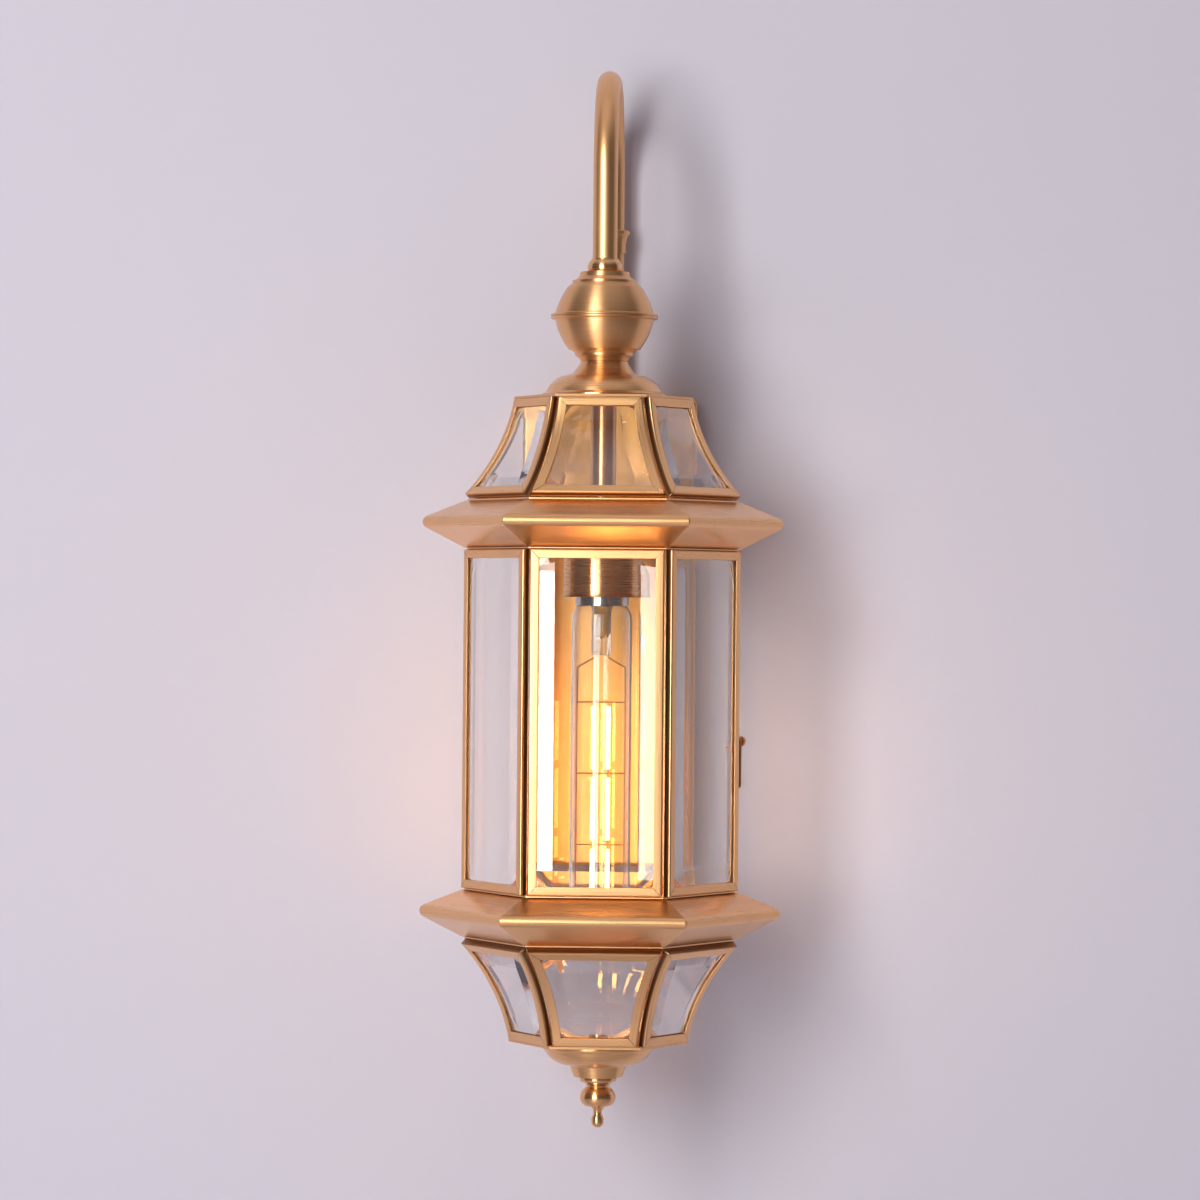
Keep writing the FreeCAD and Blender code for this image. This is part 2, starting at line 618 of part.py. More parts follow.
def arm_tube():
    """Crook of round tube: down to the bell on the lantern's axis, over, and down into the box."""
    front_foot = Vector(0, -AXIS_TO_WALL, BELL_FOOT)
    front_top = Vector(0, -AXIS_TO_WALL, ARM_SPRING)
    apex = Vector(0, -ARM_FROM_WALL - ARM_BEND, ARM_APEX)
    rear_top = Vector(0, -ARM_FROM_WALL, ARM_SPRING)
    rear_foot = Vector(0, -ARM_FROM_WALL, BOX_HEIGHT / 2.0 - BOX_WALL - ARM_INTO_BOX)
    path = Part.Wire([Part.makeLine(front_foot, front_top),
                      Part.Arc(front_top, apex, rear_top).toShape(),
                      Part.makeLine(rear_top, rear_foot)])
    walls = []
    for radius in (ARM_RADIUS, ARM_RADIUS - ARM_TUBE_WALL):
        ring = Part.Wire(Part.makeCircle(radius, front_foot, Vector(0, 0, 1)))
        walls.append(path.makePipeShell([ring], True, False))
    return walls[0].cut(walls[1])


def ball_upper():
    """Upper half of the spun ball, from its rolled rim to the crown under the collar."""
    wall = SPUN_WALL
    middle = BALL_MIDDLE
    top = BALL_TOP
    rim = BALL_RIM_RADIUS - BALL_RIM_ROLL
    rim_top = middle + BALL_RIM_HALF
    shoulder = top - BALL_SHOULDER_DROP
    step = top - BALL_STEP_DROP
    return turned([(rim, middle), (rim, rim_top, BALL_RIM_ROLL),
                   (BALL_EDGE_RADIUS, rim_top + BALL_RIM_FILLET),
                   (BALL_SHOULDER_RADIUS, shoulder, BALL_UPPER_BULGE), (BALL_STEP_RADIUS, step),
                   (BALL_STEP_RADIUS, step + BALL_STEP_HEIGHT),
                   (BALL_CROWN_RADIUS + BALL_COVE, top - BALL_CROWN_DROP, -BALL_COVE / 2.0),
                   (BALL_CROWN_RADIUS, top), (ARM_BORE, top), (ARM_BORE, top - wall),
                   (BALL_CROWN_RADIUS - wall, top - wall), (BALL_STEP_RADIUS - wall, step - wall),
                   (BALL_SHOULDER_RADIUS - wall, shoulder - wall),
                   (BALL_EDGE_RADIUS - wall, rim_top, -BALL_UPPER_BULGE),
                   (BALL_EDGE_RADIUS - wall, middle)])


def ball_lower():
    """Lower half of the spun ball, from its rolled rim to the foot on the bell."""
    wall = SPUN_WALL
    middle = BALL_MIDDLE
    foot = BALL_FOOT
    rim = BALL_RIM_RADIUS - BALL_RIM_ROLL
    rim_foot = middle - BALL_RIM_HALF
    hip = foot + BALL_HIP_RISE
    bead = foot + BALL_BEAD_RISE
    bead_top = bead + BALL_BEAD_HEIGHT
    return turned([(rim, middle, BALL_RIM_ROLL), (BALL_EDGE_RADIUS - wall, middle),
                   (BALL_EDGE_RADIUS - wall, rim_foot),
                   (BALL_HIP_RADIUS - wall, hip + wall, -BALL_LOWER_BULGE),
                   (BALL_BEAD_RADIUS - wall, bead_top + wall),
                   (BALL_FOOT_RADIUS - wall, foot + wall), (ARM_BORE, foot + wall), (ARM_BORE, foot),
                   (BALL_FOOT_RADIUS, foot), (BALL_FOOT_RADIUS + BALL_COVE, foot + BALL_FOOT_ROLL),
                   (BALL_BEAD_RADIUS, bead, -BALL_COVE / 2.0), (BALL_BEAD_RADIUS, bead_top),
                   (BALL_HIP_RADIUS, hip, -BALL_COVE),
                   (BALL_EDGE_RADIUS, rim_foot - BALL_RIM_FILLET, BALL_LOWER_BULGE), (rim, rim_foot)])


def bell_cap():
    """Spun bell between the ball and the roof plate."""
    wall = SPUN_WALL
    low = BELL_FOOT
    top = low + BELL_HEIGHT
    brim = low + BELL_BRIM_HEIGHT
    crown = top - BELL_CROWN_DROP
    waist = top - BELL_WAIST_DROP
    inner = BELL_DOME_RADIUS - wall
    return turned([(BELL_BRIM_RADIUS, low), (BELL_BRIM_RADIUS, brim), (BELL_DOME_RADIUS, brim + BELL_COVE),
                   (BELL_CROWN_RADIUS, crown, BELL_DOME_BULGE), (BELL_WAIST_RADIUS, waist),
                   (BELL_NECK_RADIUS, top, -BELL_NECK_CURVE), (ARM_BORE, top), (ARM_BORE, top - wall),
                   (BELL_NECK_RADIUS - wall, top - wall), (BELL_WAIST_RADIUS - wall, waist - wall),
                   (BELL_CROWN_RADIUS - wall, crown - wall), (inner, brim, -BELL_DOME_BULGE), (inner, low)])


def head_parts():
    """Turned and spun pieces between the arm and the roof, on the lantern's axis."""
    foot = BALL_TOP
    top = foot + COLLAR_HEIGHT
    collar = turned([(ARM_BORE, foot), (COLLAR_FOOT_RADIUS, foot),
                     (COLLAR_NECK_RADIUS, top - COLLAR_NECK, COLLAR_BEAD),
                     (ARM_BORE + COLLAR_EDGE, top), (ARM_BORE, top)])
    return {"arm_collar": collar, "ball_upper": ball_upper(), "ball_lower": ball_lower(),
            "bell_cap": bell_cap()}


def arm_coupling():
    """Turned cup on the rear limb of the arm."""
    foot = COUPLING_TOP - COUPLING_HEIGHT
    rim = COUPLING_TOP - COUPLING_RIM
    cup = turned([(ARM_BORE, foot), (COUPLING_FOOT_RADIUS, foot),
                  (COUPLING_RADIUS - COUPLING_RIM_STEP, rim - COUPLING_RIM_STEP, -COUPLING_FLARE),
                  (COUPLING_RADIUS, rim), (COUPLING_RADIUS, COUPLING_TOP, COUPLING_ROLL),
                  (ARM_BORE, COUPLING_TOP)])
    cup.translate(Vector(0, ARM_REACH, 0))
    return cup


def tip_plate(level):
    """Hexagonal plate that closes the narrow end of a tier, with a hole on the axis."""
    return hex_prism(TIP_APOTHEM - CORNICE_LIP_SET, level, PLATE_SHEET)


def holder_parts():
    """Centre tube, socket cup, lampholder and the lamp's cap, on the lantern's axis."""
    tube = CENTRE_TUBE / 2.0
    bore = tube - CENTRE_TUBE_WALL
    spigot = SPIGOT_DIAMETER / 2.0
    pass_way = spigot - CENTRE_TUBE_WALL
    cup_top = CUP_BOTTOM + CUP_HEIGHT
    spigot_top = ROOF_TOP + SPIGOT_LENGTH
    tube_head = ROOF_TOP - CENTRE_TUBE_WALL
    centre = turned([(bore, cup_top), (tube, cup_top), (tube, ROOF_TOP), (spigot, ROOF_TOP),
                     (spigot, spigot_top), (pass_way, spigot_top), (pass_way, tube_head),
                     (bore, tube_head)])
    inner = CUP_RADIUS - CUP_WALL
    roll = CUP_RADIUS - CUP_ROLL
    cup = turned([(inner, CUP_BOTTOM), (CUP_RADIUS + CUP_LIP, CUP_BOTTOM),
                  (CUP_RADIUS, CUP_BOTTOM + CUP_LIP_HEIGHT, -CUP_LIP_CURVE),
                  (CUP_RADIUS, cup_top - CUP_ROLL), (roll, cup_top, CUP_ROLL_BULGE), (bore, cup_top),
                  (bore, cup_top - CUP_WALL), (roll - CUP_WALL, cup_top - CUP_WALL),
                  (inner, cup_top - CUP_ROLL - CUP_WALL)])
    holder_top = cup_top - CUP_WALL - HOLDER_TOP_AIR
    holder_foot = holder_top - HOLDER_HEIGHT
    shell = CAP_RADIUS + HOLDER_AIR
    rim = inner - HOLDER_AIR
    ceiling = holder_top - HOLDER_WALL
    holder = turned([(shell, holder_foot), (rim, holder_foot), (rim, holder_top - HOLDER_CHAMFER),
                     (rim - HOLDER_CHAMFER, holder_top), (bore, holder_top), (bore, ceiling),
                     (shell, ceiling)])
    seat = LAMP_SEAT
    skirt = BULB_THROAT + CAP_SKIRT_AIR
    cap_top = min(seat + CAP_HEIGHT, ceiling - CAP_AIR)
    cone = cap_top - CAP_CONTACT
    cap = turned([(0.0, seat + CAP_SKIRT), (skirt, seat + CAP_SKIRT), (skirt, seat), (CAP_RADIUS, seat),
                  (CAP_RADIUS, cone - CAP_CONE), (CAP_RADIUS - CAP_CONE, cone),
                  (CAP_RADIUS - 2.0 * CAP_CONE, cap_top), (0.0, cap_top)])
    return {"centre_tube": centre, "socket_cup": cup, "lampholder": holder, "bulb_cap": cap}


def lamp_glass():
    """Blown tube of the lamp with a hollow stem, pressed solid round the two lead wires."""
    seat = LAMP_SEAT
    root = seat + BULB_INTO_CAP
    end = seat - BULB_LENGTH
    thin = BULB_WALL
    side = BULB_RADIUS - thin
    dome = 1.0 - math.cos(math.radians(45.0))
    shoulder = seat - BULB_SHOULDER
    flare = seat - STEM_FLARE_LENGTH
    glass = turned([(0.0, end), (BULB_RADIUS, end + BULB_RADIUS, dome * BULB_RADIUS),
                    (BULB_RADIUS, shoulder), (BULB_THROAT, seat, BULB_SHOULDER_CURVE),
                    (BULB_THROAT, root), (0.0, root)])
    hollow = turned([(0.0, end + thin), (side, end + BULB_RADIUS, dome * side), (side, shoulder),
                     (BULB_THROAT - thin, seat, BULB_SHOULDER_CURVE), (BULB_THROAT - thin, root - thin),
                     (STEM_RADIUS + STEM_FLARE, root - thin),
                     (STEM_RADIUS, flare, STEM_FLARE / 2.0), (STEM_RADIUS, STEM_END + STEM_TIP / 2.0),
                     (STEM_RADIUS - STEM_TIP / 4.0, STEM_END), (0.0, STEM_END)])
    inner = STEM_RADIUS - STEM_WALL
    press = STEM_END + STEM_PRESS
    bore = turned([(0.0, press), (inner, press + inner, STEM_WALL), (inner, flare),
                   (inner + STEM_FLARE, root, -STEM_FLARE / 4.0), (0.0, root)])
    glass = glass.cut(hollow).cut(bore)
    for way in (-1.0, 1.0):
        glass = glass.cut(Part.makeCylinder(LEAD_BORE, LEAD_SEALED + LEAD_SEAL_GAP,
                                            Vector(way * LEAD_ROOT, 0, STEM_END)))
    return glass


def rod(start, end, radius):
    """Round wire between two points."""
    along = end.sub(start)
    return Part.makeCylinder(radius, along.Length, start, along)


def lamp_filament():
    """Lead wires that spread from the stem, cross wires and tiers of filament rods."""
    pieces = []
    last = FILAMENT_TOP - FILAMENT_TIERS * FILAMENT_PITCH
    for way in (-1.0, 1.0):
        root = Vector(way * LEAD_ROOT, 0, STEM_END + LEAD_SEALED)
        bend = Vector(way * LEAD_ROOT, 0, STEM_END - 2.0 * LEAD_RADIUS)
        side = Vector(way * LEAD_SPREAD, 0, STEM_END - LEAD_SHOULDER)
        foot = Vector(way * LEAD_SPREAD, 0, last)
        pieces += [rod(root, bend, LEAD_RADIUS), Part.makeSphere(LEAD_RADIUS, bend),
                   rod(bend, side, LEAD_RADIUS), Part.makeSphere(LEAD_RADIUS, side),
                   rod(side, foot, LEAD_RADIUS)]
    for tier in range(FILAMENT_TIERS + 1):
        level = FILAMENT_TOP - tier * FILAMENT_PITCH
        pieces.append(rod(Vector(-LEAD_SPREAD, 0, level), Vector(LEAD_SPREAD, 0, level), LEAD_RADIUS))
    slack = Vector(0, 0, (FILAMENT_PITCH - FILAMENT_LENGTH) / 2.0)
    for tier in range(FILAMENT_TIERS):
        level = FILAMENT_TOP - tier * FILAMENT_PITCH
        for way in (-1.0, 1.0):
            head = Vector(way * FILAMENT_SPREAD, 0, level)
            foot = Vector(way * FILAMENT_SPREAD, 0, level - FILAMENT_PITCH)
            pieces.append(rod(head, foot, LEAD_RADIUS))
            pieces.append(rod(head.sub(slack), foot.add(slack), FILAMENT_RADIUS))
    return pieces[0].multiFuse(pieces[1:]).removeSplitter()


def base_dish():
    """Spun dish under the base plate, with a small cone as its foot."""
    wall = SPUN_WALL
    bore = FINIAL_STUD / 2.0 + BORE_CLEARANCE
    top = DISH_TOP
    foot = top - DISH_HEIGHT
    bowl = top - DISH_BOWL_DEPTH
    edge = DISH_RADIUS - DISH_BRIM_SET
    edge_foot = top - DISH_BRIM - DISH_BRIM_FILLET
    step = DISH_STEP_RADIUS + DISH_STEP
    return turned([(edge - wall, top), (edge - wall, edge_foot), (step, bowl + wall, -DISH_BOWL_BULGE),
                   (DISH_STEP_RADIUS - wall, bowl), (DISH_FOOT_RADIUS - wall, foot + wall),
                   (bore, foot + wall), (bore, foot), (DISH_FOOT_RADIUS, foot),
                   (DISH_STEP_RADIUS, bowl - DISH_STEP), (step, bowl),
                   (edge, edge_foot, DISH_BOWL_BULGE), (DISH_RADIUS, top - DISH_BRIM, DISH_BRIM_ROLL),
                   (DISH_RADIUS, top)])


def finial():
    """Turned drop with a ring, a neck, a ball and a small tip, on a threaded stud."""
    stud = FINIAL_STUD / 2.0
    stud_top = BASE_FOOT + WASHER_THICKNESS + NUT_HEIGHT + FINIAL_STUD_SHOWN
    crown = FINIAL_TOP
    end = crown - FINIAL_HEIGHT
    ring = crown - FINIAL_RING_HEIGHT
    collar = ring - FINIAL_COLLAR_HEIGHT
    neck = collar - FINIAL_NECK_HEIGHT
    ball = neck - FINIAL_BALL_UPPER
    under = ball - FINIAL_BALL_LOWER
    waist = under - FINIAL_WAIST_HEIGHT
    tip = end + FINIAL_TIP_HEIGHT
    cove = (FINIAL_BALL_FOOT + FINIAL_WAIST_RADIUS) / 2.0
    return turned([(0.0, end), (FINIAL_TIP_RADIUS, tip, FINIAL_TIP_HEIGHT / 3.0),
                   (FINIAL_WAIST_RADIUS, waist, FINIAL_TIP_HEIGHT / 8.0),
                   (cove, under, -FINIAL_WAIST_RADIUS / 3.0), (FINIAL_BALL_FOOT, under),
                   (FINIAL_BALL_RADIUS, ball, FINIAL_BALL_LOWER / 6.0),
                   (FINIAL_NECK_RADIUS, neck, FINIAL_BALL_UPPER / 6.0),
                   (FINIAL_COLLAR_RADIUS, collar, -FINIAL_NECK_HEIGHT / 6.0),
                   (FINIAL_COLLAR_RADIUS, ring), (FINIAL_RING_RADIUS, ring),
                   (FINIAL_RING_RADIUS, crown, FINIAL_RING_HEIGHT / 6.0), (stud, crown),
                   (stud, stud_top), (0.0, stud_top)])


def finial_nut():
    """Washer and hexagon nut that hold the finial's stud on the base plate."""
    bore = FINIAL_STUD / 2.0 + BORE_CLEARANCE
    rim = WASHER_DIAMETER / 2.0
    seat = BASE_FOOT + WASHER_THICKNESS
    washer = turned([(bore, BASE_FOOT), (rim, BASE_FOOT), (rim, seat), (bore, seat)])
    nut = hex_prism(NUT_FLATS / 2.0, seat, NUT_HEIGHT)
    nut = nut.cut(Part.makeCylinder(bore, NUT_HEIGHT, Vector(0, 0, seat)))
    return Part.makeCompound([washer, nut])


def hole_on_axis(diameter, level):
    """Clearance hole through a plate on the lantern's axis."""
    return Part.makeCylinder(diameter / 2.0 + BORE_CLEARANCE, PLATE_SHEET, Vector(0, 0, level))


def panel_parts():
    """Frames and panes of all three tiers, with the hinged door and its fittings."""
    roof = Tier(ROOF_FOOT, TIER_HEIGHT, ROOM_APOTHEM, TIP_APOTHEM, TIER_SAG)
    body = Tier(BODY_FOOT, BODY_HEIGHT, ROOM_APOTHEM, ROOM_APOTHEM, 0.0)
    roof_frame = roof.frame()
    roof_pane = roof.pane()
    fold = (ROOF_FOOT + BASE_TOP) / 2.0
    base_frame = upside_down(roof_frame, fold)
    base_pane = upside_down(roof_pane, fold)
    body_frame = body.frame()
    body_pane = body.pane()
    pieces = {}
    for face in FACES:
        pieces["roof_frame_" + face] = turn_to_face(roof_frame, face)
        pieces["roof_glass_" + face] = turn_to_face(roof_pane, face)
        pieces["base_frame_" + face] = turn_to_face(base_frame, face)
        pieces["base_glass_" + face] = turn_to_face(base_pane, face)
        if face != DOOR_FACE:
            pieces["body_frame_" + face] = turn_to_face(body_frame, face)
            pieces["body_glass_" + face] = turn_to_face(body_pane, face)
    fixed = [turn_to_face(shape, DOOR_FACE) for shape in hinge_knuckles("fixed")]
    rear = "body_frame_" + HINGE_FACE
    pieces[rear] = pieces[rear].multiFuse(fixed).removeSplitter()
    door = body.frame(DOOR_CLEARANCE).multiFuse(hinge_knuckles("door")).cut(latch_hole())
    pieces["door_frame"] = turn_to_face(door.removeSplitter(), DOOR_FACE)
    pieces["door_glass"] = turn_to_face(body.pane(DOOR_CLEARANCE), DOOR_FACE)
    pieces["hinge_pins"] = Part.makeCompound([turn_to_face(pin, DOOR_FACE) for pin in hinge_pins()])
    pieces["latch"] = turn_to_face(latch(), DOOR_FACE)
    return pieces


def on_axis_parts():
    """Every piece of the lantern, drawn about its own axis."""
    pieces = panel_parts()
    pieces.update(head_parts())
    pieces.update(holder_parts())
    pieces["bulb_glass"] = lamp_glass()
    pieces["bulb_filament"] = lamp_filament()
    pieces["base_dish"] = base_dish()
    pieces["finial"] = finial()
    pieces["finial_nut"] = finial_nut()
    pieces["arm_coupling"] = arm_coupling()
    pieces["upper_cornice"] = cornice(BODY_TOP)
    pieces["lower_cornice"] = cornice(BASE_TOP)
    pieces["top_plate"] = tip_plate(ROOF_TOP).cut(hole_on_axis(SPIGOT_DIAMETER, ROOF_TOP))
    pieces["base_plate"] = tip_plate(DISH_TOP).cut(hole_on_axis(FINIAL_STUD, DISH_TOP))
    return pieces


def build():
    """Make every piece in its place, as a dictionary of shapes by node name."""
    pieces = on_axis_parts()
    for shape in pieces.values():
        shape.translate(Vector(0, -AXIS_TO_WALL, 0))
    pieces["arm_tube"] = arm_tube()
    pieces["back_box"] = wall_box()
    pieces["wall_strap"] = wall_strap()
    pieces["box_screws"] = Part.makeCompound(box_screws())
    return pieces


def main():
    """Write one file for each piece."""
    os.makedirs("parts", exist_ok=True)
    for name, shape in sorted(build().items()):
        shape.exportStep("parts/" + name + ".step")


main()
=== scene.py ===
"""Looks of a hexagonal glazed wall lantern in brushed brass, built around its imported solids."""

import json
import logging
import math
from contextlib import contextmanager
from dataclasses import dataclass, field
from enum import Enum
from typing import Any, Callable, Dict, Iterator, List, Optional, Sequence, Tuple, Union

import bmesh
import bpy
from mathutils import Matrix, Vector

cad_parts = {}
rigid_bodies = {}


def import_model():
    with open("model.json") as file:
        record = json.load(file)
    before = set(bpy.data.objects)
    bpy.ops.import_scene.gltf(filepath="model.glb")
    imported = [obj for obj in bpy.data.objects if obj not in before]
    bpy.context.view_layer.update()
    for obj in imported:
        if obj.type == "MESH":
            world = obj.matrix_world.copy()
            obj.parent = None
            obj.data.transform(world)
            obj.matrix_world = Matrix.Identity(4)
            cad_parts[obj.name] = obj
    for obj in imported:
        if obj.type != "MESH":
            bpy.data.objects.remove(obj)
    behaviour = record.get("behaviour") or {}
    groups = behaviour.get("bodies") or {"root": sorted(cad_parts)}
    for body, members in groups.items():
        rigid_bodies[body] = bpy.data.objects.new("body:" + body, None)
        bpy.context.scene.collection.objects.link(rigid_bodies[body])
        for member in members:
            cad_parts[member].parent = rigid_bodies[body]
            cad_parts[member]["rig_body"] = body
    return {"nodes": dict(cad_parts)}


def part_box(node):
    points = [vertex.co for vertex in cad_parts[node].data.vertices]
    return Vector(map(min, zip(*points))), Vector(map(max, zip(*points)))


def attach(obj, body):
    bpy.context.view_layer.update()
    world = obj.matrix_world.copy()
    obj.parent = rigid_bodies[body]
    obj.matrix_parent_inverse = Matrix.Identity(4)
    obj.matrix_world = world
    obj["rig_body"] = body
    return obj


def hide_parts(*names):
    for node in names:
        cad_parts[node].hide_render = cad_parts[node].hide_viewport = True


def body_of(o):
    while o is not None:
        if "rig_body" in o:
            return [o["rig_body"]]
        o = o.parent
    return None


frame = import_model()

LOG = logging.getLogger("lantern")
NODES: Dict[str, bpy.types.Object] = frame["nodes"]
MILLIMETRE = 0.001
GRAIN_MAP = "grain"
DEPTH_MAP = "depth"
BRASS_SLOT = "brushed_brass"
SIDES = 6
SIDE_ANGLE = 360.0 / SIDES
BOTH_WAYS = (-1, 1)
MERGE_GAP = 0.002 * MILLIMETRE
FLAT_ANGLE = math.radians(0.25)

Colour = Tuple[float, float, float]
Range = Tuple[float, float]
Curve = List[Vector]


# Places on the lantern

def middle(node: str) -> Vector:
    """Centre of a solid's box."""
    low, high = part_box(node)
    return (low + high) / 2.0


AXIS = middle("finial")


class Face(Enum):
    """Side of the hexagon, by the number of turns of 60 degrees from the front."""

    FRONT = 0
    FRONT_RIGHT = 1
    REAR_RIGHT = 2
    REAR = 3
    REAR_LEFT = 4
    FRONT_LEFT = 5

    @property
    def word(self) -> str:
        """Ending of the solids' names on this side."""
        return self.name.lower()

    def turn(self, way: float = 1.0) -> Matrix:
        """Turn about the lantern's axis between the front and this side.

        Args:
            way: 1 from the front to this side, -1 back to the front.

        Returns:
            The turn.
        """
        angle = way * self.value * 2.0 * math.pi / SIDES
        foot = Matrix.Translation((AXIS.x, AXIS.y, 0.0))
        return foot @ Matrix.Rotation(angle, 4, "Z") @ foot.inverted()


# Node trees

class Wire:
    """One socket of a node tree; arithmetic on it adds Math nodes."""

    def __init__(self, maker: "ShaderMaker", socket: bpy.types.NodeSocket) -> None:
        """Keep the socket and the maker that can add nodes after it."""
        self.maker = maker
        self.socket = socket

    def sum_up(self, operation: str, first: Any, second: Any) -> "Wire":
        """Add one Math node on two numbers or wires."""
        return self.maker.add("ShaderNodeMath", {"operation": operation}, {0: first, 1: second})

    def __add__(self, other: Any) -> "Wire":
        """Sum of two values."""
        return self.sum_up("ADD", self, other)

    def __sub__(self, other: Any) -> "Wire":
        """Difference of two values."""
        return self.sum_up("SUBTRACT", self, other)

    def __rsub__(self, other: Any) -> "Wire":
        """Difference with the wire second."""
        return self.sum_up("SUBTRACT", other, self)

    def __mul__(self, other: Any) -> "Wire":
        """Product of two values."""
        return self.sum_up("MULTIPLY", self, other)

    def __truediv__(self, other: Any) -> "Wire":
        """Quotient of two values."""
        return self.sum_up("DIVIDE", self, other)

    def __rtruediv__(self, other: Any) -> "Wire":
        """Quotient with the wire second."""
        return self.sum_up("DIVIDE", other, self)

    def __pow__(self, other: Any) -> "Wire":
        """Power of a value."""
        return self.sum_up("POWER", self, other)

    def __rpow__(self, other: Any) -> "Wire":
        """Power with the wire second."""
        return self.sum_up("POWER", other, self)

    def at_least(self, other: Any) -> "Wire":
        """Larger of two values."""
        return self.sum_up("MAXIMUM", self, other)

    __radd__ = __add__
    __rmul__ = __mul__


def length(first: Wire, second: Wire) -> Wire:
    """Length of a vector from its two parts."""
    return (first * first + second * second) ** 0.5


class ShaderMaker:
    """Builds one node tree."""

    def __init__(self, tree: bpy.types.NodeTree) -> None:
        """Empty the tree and remember it."""
        self.tree = tree
        tree.nodes.clear()

    def add(self, kind: str, settings: Optional[Dict[str, Any]] = None,
            inputs: Optional[Dict[Any, Any]] = None, output: Union[int, str] = 0) -> Wire:
        """Add a node, set it up and link it.

        Args:
            kind: The node's type.
            settings: Properties of the node.
            inputs: Numbers, colours or wires by socket name or index.
            output: Name or index of the output to return.

        Returns:
            The wire of that output.
        """
        node = self.tree.nodes.new(kind)
        for name, value in (settings or {}).items():
            setattr(node, name, value)
        for name, value in (inputs or {}).items():
            if isinstance(value, Wire):
                self.tree.links.new(value.socket, node.inputs[name])
            else:
                node.inputs[name].default_value = value
        return Wire(self, node.outputs[output] if node.outputs else None)

    def place(self) -> Wire:
        """Object coordinates of the point that is shaded."""
        return self.add("ShaderNodeTexCoord", output="Object")

    def split(self, vector: Wire) -> Tuple[Wire, Wire, Wire]:
        """Three parts of a vector."""
        outputs = self.add("ShaderNodeSeparateXYZ", inputs={0: vector}).socket.node.outputs
        return Wire(self, outputs[0]), Wire(self, outputs[1]), Wire(self, outputs[2])

    def join(self, x: Any, y: Any, z: Any) -> Wire:
        """Vector from three parts."""
        return self.add("ShaderNodeCombineXYZ", inputs={0: x, 1: y, 2: z})

    def noise(self, vector: Wire, scale: float, detail: float, fourth: Any = 0.0) -> Wire:
        """Noise value from 0 to 1 at a vector with a fourth part."""
        return self.add("ShaderNodeTexNoise", {"noise_dimensions": "4D"},
                        {"Vector": vector, "W": fourth, "Scale": scale, "Detail": detail})

    def remap(self, value: Wire, low: float, high: float, to_low: float, to_high: float) -> Wire:
        """Value moved from one range to another and kept inside it."""
        return self.add("ShaderNodeMapRange", {"clamp": True},
                        {0: value, 1: low, 2: high, 3: to_low, 4: to_high})

    def blend(self, share: Wire, first: Any, second: Any) -> Wire:
        """Colour between two colours."""
        return self.add("ShaderNodeMix", {"data_type": "RGBA"}, {0: share, 6: first, 7: second}, 2)

    def bump(self, height: Wire, strength: float, distance: float) -> Wire:
        """Normal from a height."""
        return self.add("ShaderNodeBump", None,
                        {"Height": height, "Strength": strength, "Distance": distance})

    def surface(self, **sockets: Any) -> Wire:
        """Principled shader with its sockets given by name, with _ for a space."""
        return self.add("ShaderNodeBsdfPrincipled", None,
                        {name.replace("_", " "): value for name, value in sockets.items()})

    def show(self, shader: Wire, kind: str = "ShaderNodeOutputMaterial") -> None:
        """Link a shader to the tree's output."""
        self.add(kind, None, {"Surface": shader})


def opaque(colour: Colour) -> Tuple[float, float, float, float]:
    """Colour with full cover, as a socket takes it."""
    return (*colour, 1.0)


def new_material(name: str) -> Tuple[bpy.types.Material, ShaderMaker]:
    """Make an empty material.

    Args:
        name: The material's name.

    Returns:
        The material and the maker of its nodes.
    """
    material = bpy.data.materials.new(name)
    material.use_nodes = True
    return material, ShaderMaker(material.node_tree)


# Finishes

class Grain(Enum):
    """Way in which a piece of brass was brushed."""

    RINGS = "rings"
    UPRIGHT = "upright"
    TUBE = "tube"
    LENGTHS = "lengths"


